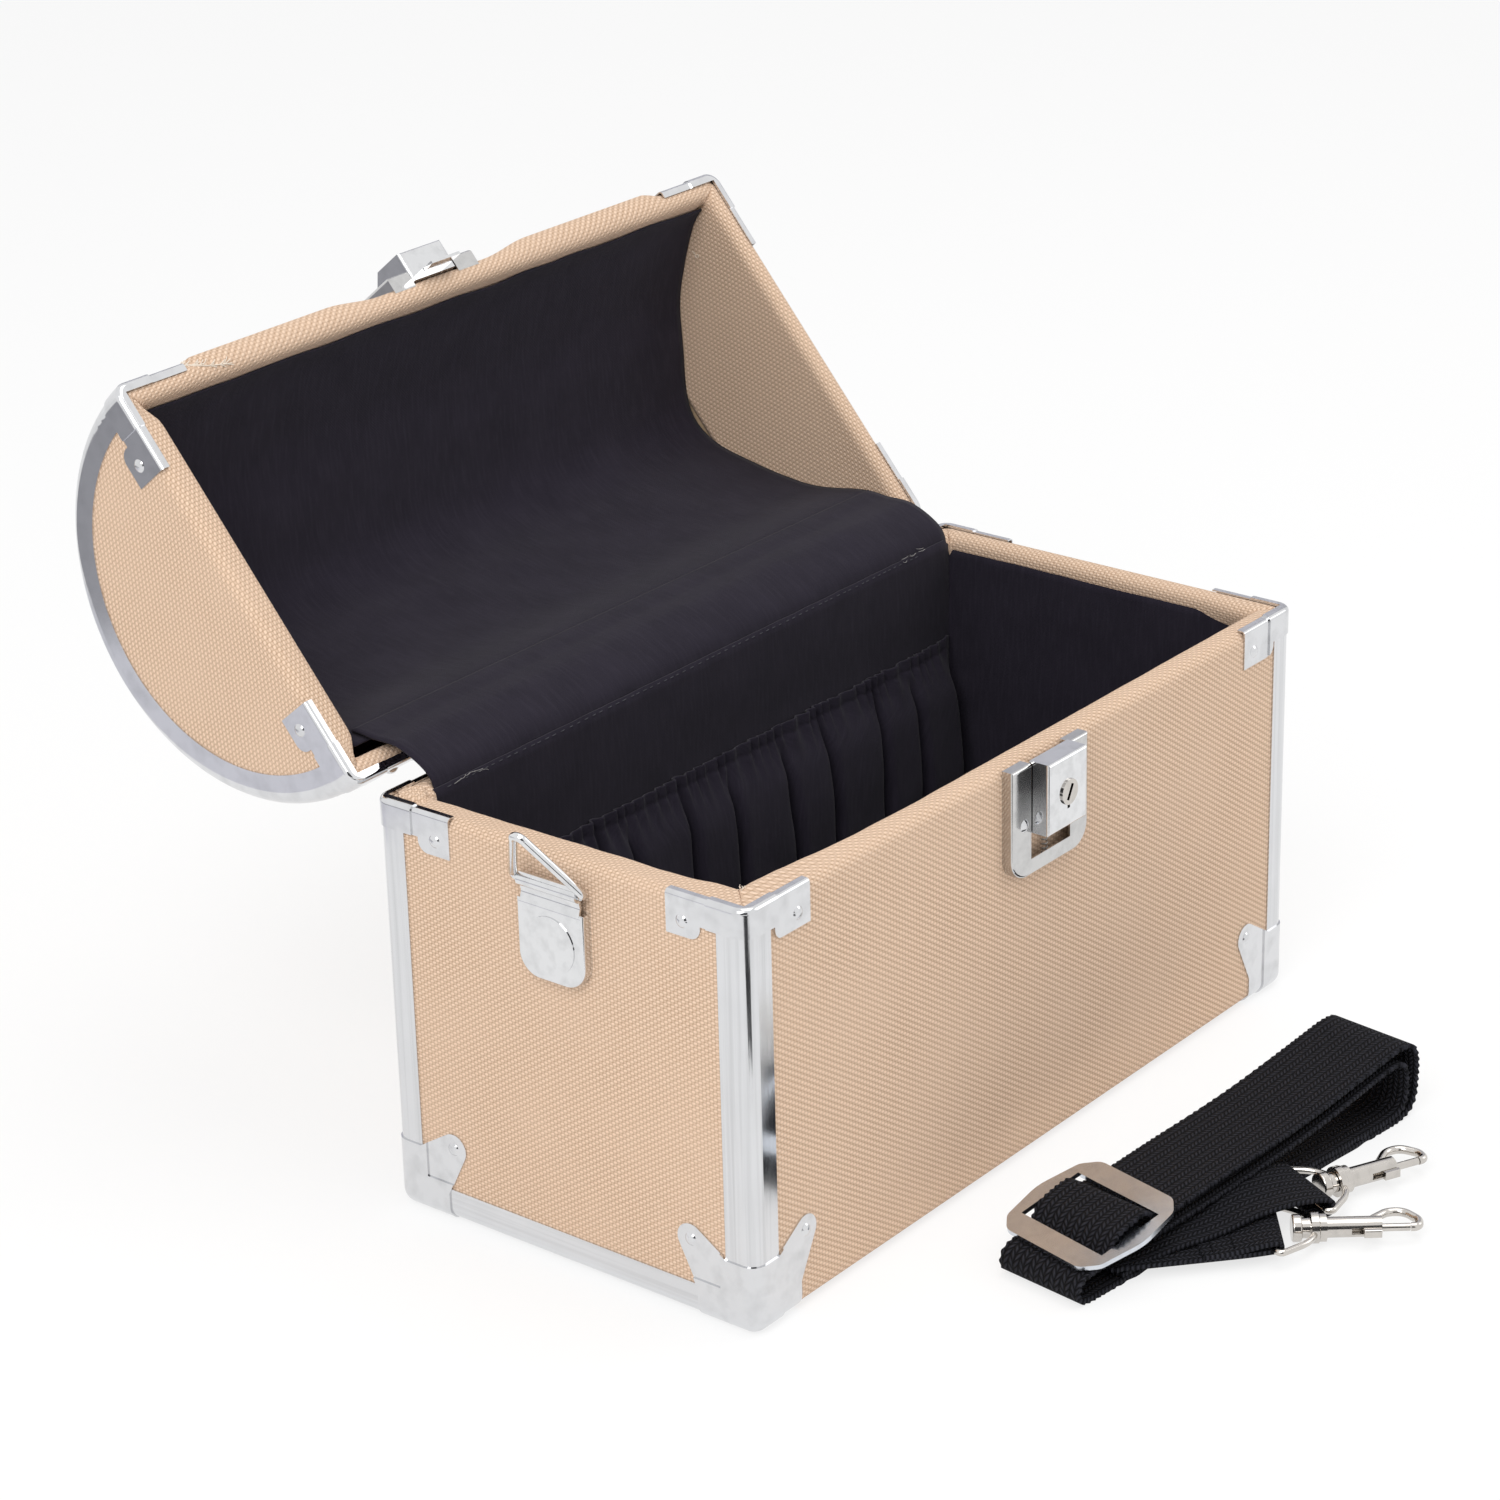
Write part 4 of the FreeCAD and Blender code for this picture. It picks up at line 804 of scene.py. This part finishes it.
def lid_lining():
    """Slack lining of the lid: stitched along the rims and fallen away from the dome between."""
    profile = smooth_line(
        [
            (174.8, 103.3), (178.0, 99.2), (180.6, 92.0), (183.8, 81.0), (187.0, 67.0), (185.6, 50.0),
            (185.2, 34.0), (182.5, 22.0), (173.0, 14.3), (158.0, 10.8), (143.0, 7.6), (128.0, 6.0),
            (118.0, 6.8), (108.0, 8.7), (100.0, 9.6), (93.0, 8.5),
        ],
        8,
        rim_height,
    )
    half = half_length - wall - 0.5
    rows = []
    for number, (y, z) in enumerate(profile):
        share = number / (len(profile) - 1)
        loose = math.sin(math.pi * share) ** 0.7
        rise = (lid_turn.inverted() @ Vector((0.0, y, z))).z - lid_rim
        left = half - lid_left_padding * ramp(lid_padding_rise, rim_round, rise)
        row = []
        for x in spaced(-left, half, lining_steps):
            fold = loose * (1.3 * ripple(x, y, z, 55.0) + 0.45 * ripple(x, y, z, 16.0))
            edge = 1.1 * ripple(x, 0.0, 7.0, 21.0) * max(0.0, 1.0 - 8.0 * share)
            row.append((x, y - 0.77 * fold - 0.25 * edge, z + 0.64 * fold + 0.96 * edge))
        rows.append(row)
    return cloth("lid_lining_cloth", rows, 0.6, cotton, flip=True)


def hinge_flap():
    """Strip of lining from the back wall over both rims into the lid."""
    profile = smooth_line(
        [
            (64.5, -18.5), (64.5, -12.0), (64.5, -6.0), (64.4, -1.1), (66.2, 2.6), (72.5, 6.6),
            (80.0, 9.5), (86.0, 9.9), (91.0, 9.9), (96.0, 10.6), (99.5, 10.5),
        ],
        8,
        rim_height,
    )
    right = half_length - wall - lining_thickness - inner_round
    left = right - 7.0
    rows = []
    for y, z in profile:
        over = min(1.0, max(0.0, (z - rim_height) / 4.0)) * min(1.0, max(0.0, (90.0 - y) / 8.0))
        row = []
        for x in spaced(-left, right, lining_steps):
            fold = over * 0.4 * (1.0 + ripple(x, y, z, 20.0))
            row.append((x, y - 0.35 * fold, z + fold))
        rows.append(row)
    return cloth("hinge_flap_cloth", rows, 0.6, cotton)


walls = base_lining()
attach(walls, "base")
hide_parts("base_lining")
bottom = floor_lining()
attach(bottom, "base")
pocket = gathered_pocket()
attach(pocket, "base")
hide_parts("gathered_pocket", "pocket_elastic")
slack = lid_lining()
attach(slack, "lid")
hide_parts("lid_lining")
flap = hinge_flap()
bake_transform(flap)
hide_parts("lining_flap")


# Shoulder strap

strap_corner = Vector((-77.0, -141.9, 0.0))
upper_bar = strap_corner + Vector((92.75, -21.7, 0.0))
lower_bar = strap_corner + Vector((67.48, -26.0, 0.0))
strap_turn = math.radians(-6.5)
upper_heading = -25.7
lower_heading = -42.0
lower_hook_heading = -51.2
strap_width = 32.0
tail_width = 27.0
webbing_thickness = 1.5
selvedge_wave = 0.32
selvedge_pitch = 2.4


def heading(degrees):
    """Level direction with a heading."""
    return Vector((math.cos(math.radians(degrees)), math.sin(math.radians(degrees)), 0.0))


def strip(name, rows):
    """Webbing of its own thickness on rows of points."""
    return cloth(name, rows, webbing_thickness, webbing)


def strap_fold():
    """Webbing folded on itself: over the buckle bar, round the far end, back under, and round again."""
    profile = smooth_line(
        [
            (13.4, 11.2), (15.4, 14.6), (17.6, 17.2), (21.0, 18.2), (27.0, 19.4), (31.0, 19.7),
            (33.6, 17.4), (37.0, 15.2), (45.0, 14.8), (58.0, 15.8), (72.0, 16.9), (92.0, 18.0),
            (112.0, 19.7), (132.0, 22.5), (150.0, 25.3), (160.0, 26.9), (167.2, 26.2), (169.6, 21.0),
            (169.6, 13.0), (168.8, 5.0), (163.5, 1.8), (152.0, 1.55), (120.0, 1.55), (80.0, 1.55),
            (40.0, 1.55), (12.0, 1.55), (3.0, 1.55), (0.0, 2.9), (0.0, 7.0), (3.4, 9.1), (16.0, 9.3),
            (38.0, 9.6), (60.0, 10.1), (88.0, 12.0), (112.0, 14.3), (134.0, 17.6), (150.0, 20.5),
            (158.5, 21.6), (163.3, 20.4), (164.5, 15.5), (164.4, 9.5), (162.8, 4.8), (157.0, 3.4),
            (146.0, 3.3), (110.0, 3.3), (60.0, 3.3), (20.0, 3.3),
        ],
        14,
    )
    rows = []
    run = 0.0
    last = None
    for along, up in profile:
        if last is not None:
            run += math.hypot(along - last[0], up - last[1])
        last = (along, up)
        row = []
        for across in spaced(0.0, strap_width, 20):
            edge = 0.0
            if across in (0.0, strap_width):
                edge = selvedge_wave * math.sin(2.0 * math.pi * run / selvedge_pitch)
            flat = Vector((along, across + edge, 0.0))
            flat.rotate(Matrix.Rotation(strap_turn, 3, "Z"))
            spot = strap_corner + flat
            row.append((spot.x, spot.y, up))
        rows.append(row)
    return strip("strap_webbing_folded", rows)


def strap_tail(name, bar, tail_heading, hook_heading, profile):
    """End of the strap, from inside the fold to the loop round a swivel eye's bar."""
    rows = []
    length = -profile[0][0]
    for along, up in smooth_line(profile, 12):
        near = min(1.0, max(0.0, 1.0 + along / (0.6 * length)))
        turn = tail_heading + (hook_heading - tail_heading) * near
        across = heading(turn + 90.0)
        middle = bar + heading(tail_heading) * along
        row = []
        for share in spaced(-0.5, 0.5, 16):
            spot = middle + across * (share * tail_width)
            row.append((spot.x, spot.y, up))
        rows.append(row)
    return strip(name, rows)


fold = strap_fold()
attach(fold, "strap")
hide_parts("strap_webbing")
upper_tail = strap_tail(
    "strap_tail_upper",
    upper_bar,
    upper_heading,
    upper_heading,
    [
        (-76.0, 4.0), (-66.0, 4.0), (-54.0, 6.0), (-38.0, 6.4), (-25.0, 9.6), (-12.0, 10.1), (-5.0, 9.4),
        (0.0, 8.4), (2.6, 7.6), (2.7, 5.0), (1.0, 4.4), (-4.5, 5.0),
    ],
)
lower_tail = strap_tail(
    "strap_tail_lower",
    lower_bar,
    lower_heading,
    lower_hook_heading,
    [
        (-55.0, 4.0), (-40.0, 3.9), (-22.0, 3.8), (-8.0, 3.7), (0.0, 4.0), (2.7, 4.2), (2.7, 8.0),
        (0.0, 8.3), (-5.0, 8.0), (-12.0, 6.8), (-19.0, 6.1), (-25.0, 6.0),
    ],
)
for tail in (upper_tail, lower_tail):
    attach(tail, "strap")


# Corner fold, threads and the lock's spring

fold_corner = (-145.0, 68.0)
slanted = 0.707
seam_start = -128.0
seam_end = 121.0
seam_y = 63.75
coil_radius = 0.96
coil_y = -74.7
coil_turns = 8
coil_steps = 12
coil_wire = 0.22


def corner_fold():
    """Surplus canvas folded into the inner back left corner of the base rim."""
    rows = []
    for share in spaced(0.0, 1.6, 24):
        flat = min(1.0, share)
        fall = max(0.0, share - 0.85) / 0.75
        row = []
        for across in spaced(-1.0, 1.0, 24):
            half = 3.0 + 4.2 * flat
            slant = 5.8 * flat + 0.5 * ripple(3.0 * across, share, 0.0, 0.6)
            x = fold_corner[0] + slant + slanted * half * across
            y = fold_corner[1] - slant + slanted * half * across
            pleat = 0.35 * math.cos(3.2 * math.pi * across + 2.0 * share) * flat
            bow = 0.8 * math.sin(math.pi * flat) - 2.2 * across ** 4 - 6.5 * fall ** 1.5
            z = rim_height + 0.5 + bow + pleat
            row.append((x, y, z))
        rows.append(row)
    return cloth("corner_fold_canvas", rows, 0.6, end_canvas)


def threads(name, routes, radius, finish, fineness=4, place=None):
    """Thin round threads on smooth lines through points in millimetres, joined into one piece."""
    curve = bpy.data.curves.new(name, "CURVE")
    curve.dimensions = "3D"
    curve.bevel_depth = radius * millimetre
    curve.bevel_resolution = 1
    curve.use_fill_caps = True
    for route in routes:
        points = [Vector(point) for point in route]
        if place is not None:
            points = [place @ point for point in points]
        add_spline(curve, [[part * millimetre for part in point] for point in points], fineness)
    piece = bpy.data.objects.new(name, curve)
    bpy.context.collection.objects.link(piece)
    only(piece)
    bpy.ops.object.convert(target="MESH")
    piece = bpy.context.active_object
    piece.data.materials.append(finish)
    bpy.ops.object.shade_smooth()
    return piece


def thread_finish(name, dark, pale):
    """Spun thread, uneven in shade."""
    finish, tree, shader, place = new_finish(name)
    uneven = speckle(tree, place.outputs["Object"], 900.0)
    tree.links.new(mixed(tree, uneven, dark, pale), shader.inputs["Base Color"])
    shader.inputs["Roughness"].default_value = 0.9
    return finish


pale_thread = thread_finish("pale_thread", (0.68, 0.56, 0.44), (0.92, 0.84, 0.74))
grey_thread = thread_finish("grey_thread", (0.20, 0.19, 0.19), (0.50, 0.48, 0.46))
seam_thread = thread_finish("seam_thread", (0.022, 0.022, 0.027), (0.12, 0.12, 0.14))
chance = random.Random(11)


def rim_spot(x, angle, lift):
    """Point over the rounded front rim of the closed lid, from its outer face at 0 degrees inward."""
    turn = math.radians(angle)
    reach = rim_round + lift
    inset = rim_round - reach * math.cos(turn)
    y = -half_depth + inset - lid_front_swell(x, max(0.0, inset))
    return (x, y, lid_rim + rim_round - reach * math.sin(turn))


def cut_edge():
    """Frayed end of the canvas that laps over the lid's front rim beside the left clip."""
    line = [(-119.5, 12.0), (-118.5, 45.0), (-115.5, 80.0), (-110.0, 104.0), (-103.5, 116.0)]
    edge = ((-0.3, 0.2), (0.0, 0.4), (0.3, 0.2))
    routes = [[rim_spot(x + side, angle, lift) for x, angle in line] for side, lift in edge]
    for i in range(34):
        place = chance.uniform(0.0, len(line) - 1.001)
        first = int(place)
        rest = place - first
        x = line[first][0] + (line[first + 1][0] - line[first][0]) * rest
        angle = line[first][1] + (line[first + 1][1] - line[first][1]) * rest
        run = chance.uniform(0.8, 2.6)
        swing = chance.uniform(-22.0, 16.0)
        lift = chance.uniform(0.1, 0.7)
        routes.append([
            rim_spot(x - 0.5, angle, 0.05),
            rim_spot(x + 0.5 * run, angle + 0.4 * swing, 0.2 + 0.5 * lift),
            rim_spot(x + run, angle + swing, lift),
        ])
    return threads("frayed_canvas_edge", routes, 0.17, pale_thread, place=lid_turn)


def loose_ends(name, spots, run, radius, finish):
    """Short frayed threads that stand out round some spots."""
    routes = []
    for spot in spots:
        for i in range(5):
            way = Vector((chance.uniform(-1.0, 1.0), chance.uniform(-1.0, 1.0), chance.uniform(-0.2, 0.6)))
            start = Vector(spot) + 0.5 * way
            bend = Vector((chance.uniform(-0.4, 0.4), chance.uniform(-0.4, 0.4), 0.3))
            routes.append([start, start + 0.5 * run * way + bend, start + run * way])
    return threads(name, routes, radius, finish)


def flap_seam():
    """Running stitches where the flap is sewn to the back wall's lining."""
    routes = []
    x = seam_start
    while x < seam_end:
        length = chance.uniform(1.7, 2.5)
        z = rim_height - 1.9 + 0.3 * ripple(x, 0.0, 3.0, 30.0)
        routes.append([(x, seam_y, z), (x + 0.5 * length, 63.2, z), (x + length, seam_y, z + 0.1)])
        x += length + chance.uniform(0.6, 2.2)
    return threads("flap_stitches", routes, 0.13, seam_thread, fineness=2)


def seam_ends():
    """Loose threads at both ends of the flap's seam."""
    routes = []
    for start, end, middle, rise in ((-125.0, -112.0, -1.4, 0.9), (110.0, 122.0, 0.0, 1.4)):
        for i in range(6):
            x = chance.uniform(start, end)
            z = rim_height + middle + chance.uniform(-rise, rise)
            run = chance.uniform(1.5, 4.0)
            bend = chance.uniform(-0.9, 0.9)
            drop = chance.uniform(-0.9, 0.9)
            routes.append([(x, 63.4, z), (x + 0.5 * run, 62.9, z + bend), (x + run, 63.1, z + drop)])
    return threads("seam_thread_ends", routes, 0.075, grey_thread)


def tail_stitches():
    """Two rows of stitches that hold the lower strap end's fold."""
    routes = []
    for along, up in ((-14.0, 6.75), (-21.0, 6.2)):
        middle = lower_bar + heading(lower_heading) * along
        across = heading(-47.0 + 90.0)
        for share in spaced(-11.5, 9.5, 8):
            first = middle + across * share
            last = middle + across * (share + 1.8)
            top = (first + last) / 2
            low = up - 0.1
            routes.append([(first.x, first.y, low), (top.x, top.y, up + 0.35), (last.x, last.y, low)])
    return threads("strap_stitches", routes, 0.24, webbing, fineness=2)


def spring_coil():
    """Return spring of the lock as a real coil of wire."""
    low = rim_height - 37.9
    high = rim_height - 25.4
    steps = coil_steps * coil_turns
    route = []
    for i in range(steps + 1):
        angle = 2.0 * math.pi * i / coil_steps
        x = coil_radius * math.cos(angle)
        y = coil_y + coil_radius * math.sin(angle)
        route.append((x, y, low + (high - low) * i / steps))
    return threads("lock_spring_coil", [route], coil_wire, spring_wire)


lump = corner_fold()
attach(lump, "base")
lid_fray_spots = [(141.6, 178.3, 228.2), (141.6, 177.8, 226.8)]
rim_fray_spots = [(-136.4, -60.2, 142.2), (-137.2, -61.8, 142.7), (-135.0, -60.6, 142.5)]
sewn = (
    (cut_edge(), "lid", "canvas"),
    (loose_ends("lining_edge_fray", lid_fray_spots, 1.3, 0.11, pale_thread), "lid", "canvas"),
    (loose_ends("rim_corner_fray", rim_fray_spots, 1.2, 0.1, pale_thread), "base", "canvas"),
    (flap_seam(), "base", "lining"),
    (seam_ends(), "base", "lining"),
    (tail_stitches(), "strap", "webbing"),
)
for piece, body, kind in sewn:
    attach(piece, body)
coil = spring_coil()
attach(coil, "base")
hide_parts("lock_spring")
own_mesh(coil)


# Floor, backdrop, lights and camera

floor_glow = 0.74
backdrop_light = 0.62
card_height = 0.002


def seen_rays(tree):
    """1 for what the camera, a reflection or glass sees, and 0 for the light that falls on the object."""
    rays = tree.nodes.new("ShaderNodeLightPath")
    seen = value(tree, "MAXIMUM", rays.outputs["Is Camera Ray"], rays.outputs["Is Glossy Ray"])
    return value(tree, "MAXIMUM", seen, rays.outputs["Is Transmission Ray"])


def stage_finish(name, shown):
    """Pale floor: white to the camera, with the object's shadow kept."""
    finish, tree, shader, place = new_finish(name)
    tree.nodes.remove(place)
    shader.inputs["Base Color"].default_value = (0.96, 0.96, 0.96, 1.0)
    shader.inputs["Roughness"].default_value = 0.9
    glow = tree.nodes.new("ShaderNodeEmission")
    glow.inputs["Strength"].default_value = 1.0
    blend = tree.nodes.new("ShaderNodeMixShader")
    tree.links.new(value(tree, "MULTIPLY", seen_rays(tree), shown), blend.inputs[0])
    tree.links.new(shader.outputs[0], blend.inputs[1])
    tree.links.new(glow.outputs[0], blend.inputs[2])
    tree.links.new(blend.outputs[0], tree.nodes["Material Output"].inputs["Surface"])
    return finish


bpy.ops.object.select_all(action="DESELECT")
bpy.ops.mesh.primitive_plane_add(size=8.0, location=(0.0, 0.0, 0.0))
floor = bpy.context.active_object
floor.name = "studio_floor"
floor.data.materials.append(stage_finish("studio_white", floor_glow))

world = bpy.data.worlds.new("studio")
bpy.context.scene.world = world
world.use_nodes = True
sky = world.node_tree
backdrop = sky.nodes["Background"]
sky.links.new(spread(sky, seen_rays(sky), backdrop_light, 1.0), backdrop.inputs["Strength"])
backdrop.inputs["Color"].default_value = (1.0, 1.0, 1.0, 1.0)


def soft_light(name, place, target, size, power):
    """Large soft lamp that looks at a point."""
    lamp = bpy.data.lights.new(name, "AREA")
    lamp.shape = "RECTANGLE"
    lamp.size, lamp.size_y = size
    lamp.energy = power
    stand = bpy.data.objects.new(name, lamp)
    stand.location = place
    stand.rotation_euler = (Vector(target) - Vector(place)).to_track_quat("-Z", "Y").to_euler()
    bpy.context.collection.objects.link(stand)


soft_light("key_light", (-1.65, -0.6, 1.7), (0.0, 0.0, 0.1), (1.3, 1.3), 24.0)
soft_light("top_light", (0.3, -0.3, 2.2), (0.0, 0.0, 0.1), (1.6, 1.2), 12.0)
soft_light("side_light", (0.85, -0.75, 0.75), (0.1, -0.07, 0.08), (0.6, 0.6), 1.5)


def card(name, corners, shade):
    """Grey card on four corners that only reflections see, to draw dark shapes on the plating."""
    mesh = bpy.data.meshes.new(name)
    mesh.from_pydata(corners, [], [(0, 1, 2, 3)])
    piece = bpy.data.objects.new(name, mesh)
    bpy.context.collection.objects.link(piece)
    finish, tree, shader, place = new_finish(name)
    tree.nodes.remove(place)
    shader.inputs["Base Color"].default_value = (shade, shade, shade * 1.08, 1.0)
    shader.inputs["Roughness"].default_value = 1.0
    mesh.materials.append(finish)
    piece.visible_camera = False
    piece.visible_diffuse = False
    piece.visible_shadow = False
    piece.visible_transmission = False


def floor_card(name, start, end, width, shade):
    """Card lying on the floor along a line."""
    run = Vector((end[0] - start[0], end[1] - start[1], 0.0)).normalized()
    side = Vector((-run.y, run.x, 0.0)) * (0.5 * width)
    first = Vector((*start, card_height))
    last = Vector((*end, card_height))
    card(name, [first - side, last - side, last + side, first + side], shade)


def standing_card(name, left_foot, right_foot, low, high, shade):
    """Upright card between two feet."""
    card(name, [(*left_foot, low), (*right_foot, low), (*right_foot, high), (*left_foot, high)], shade)


floor_card("card_behind_near", (-0.33, 0.30), (-0.44, 0.52), 0.7, 0.7)
floor_card("card_behind_left", (-0.44, 0.52), (-0.9, 1.12), 0.8, 0.34)
wedge = ((-0.254, -0.207), (-0.351, -0.80), (-0.797, -0.46), (-0.255, -0.206))
card("card_before_corner", [(*spot, card_height) for spot in wedge], 0.02)
floor_card("card_before_lock", (-0.235, -0.235), (-0.25, -0.33), 0.09, 0.03)
standing_card("card_at_camera", (-1.75, -0.75), (-0.95, -1.75), low=0.1, high=1.35, shade=0.05)
standing_card("card_beyond", (0.6, 2.1), (2.2, 0.1), low=0.25, high=1.7, shade=0.62)


view = bpy.data.cameras.new("photo_camera")
view.sensor_width = 36.0
view.lens = 101.05
eye = bpy.data.objects.new("photo_camera", view)
eye.location = (-1.0082, -0.7688, 0.6672)
eye.rotation_euler = [math.radians(angle) for angle in (66.841, 1.396, -51.697)]
bpy.context.collection.objects.link(eye)
scene = bpy.context.scene
scene.camera = eye
scene.view_settings.view_transform = "Standard"
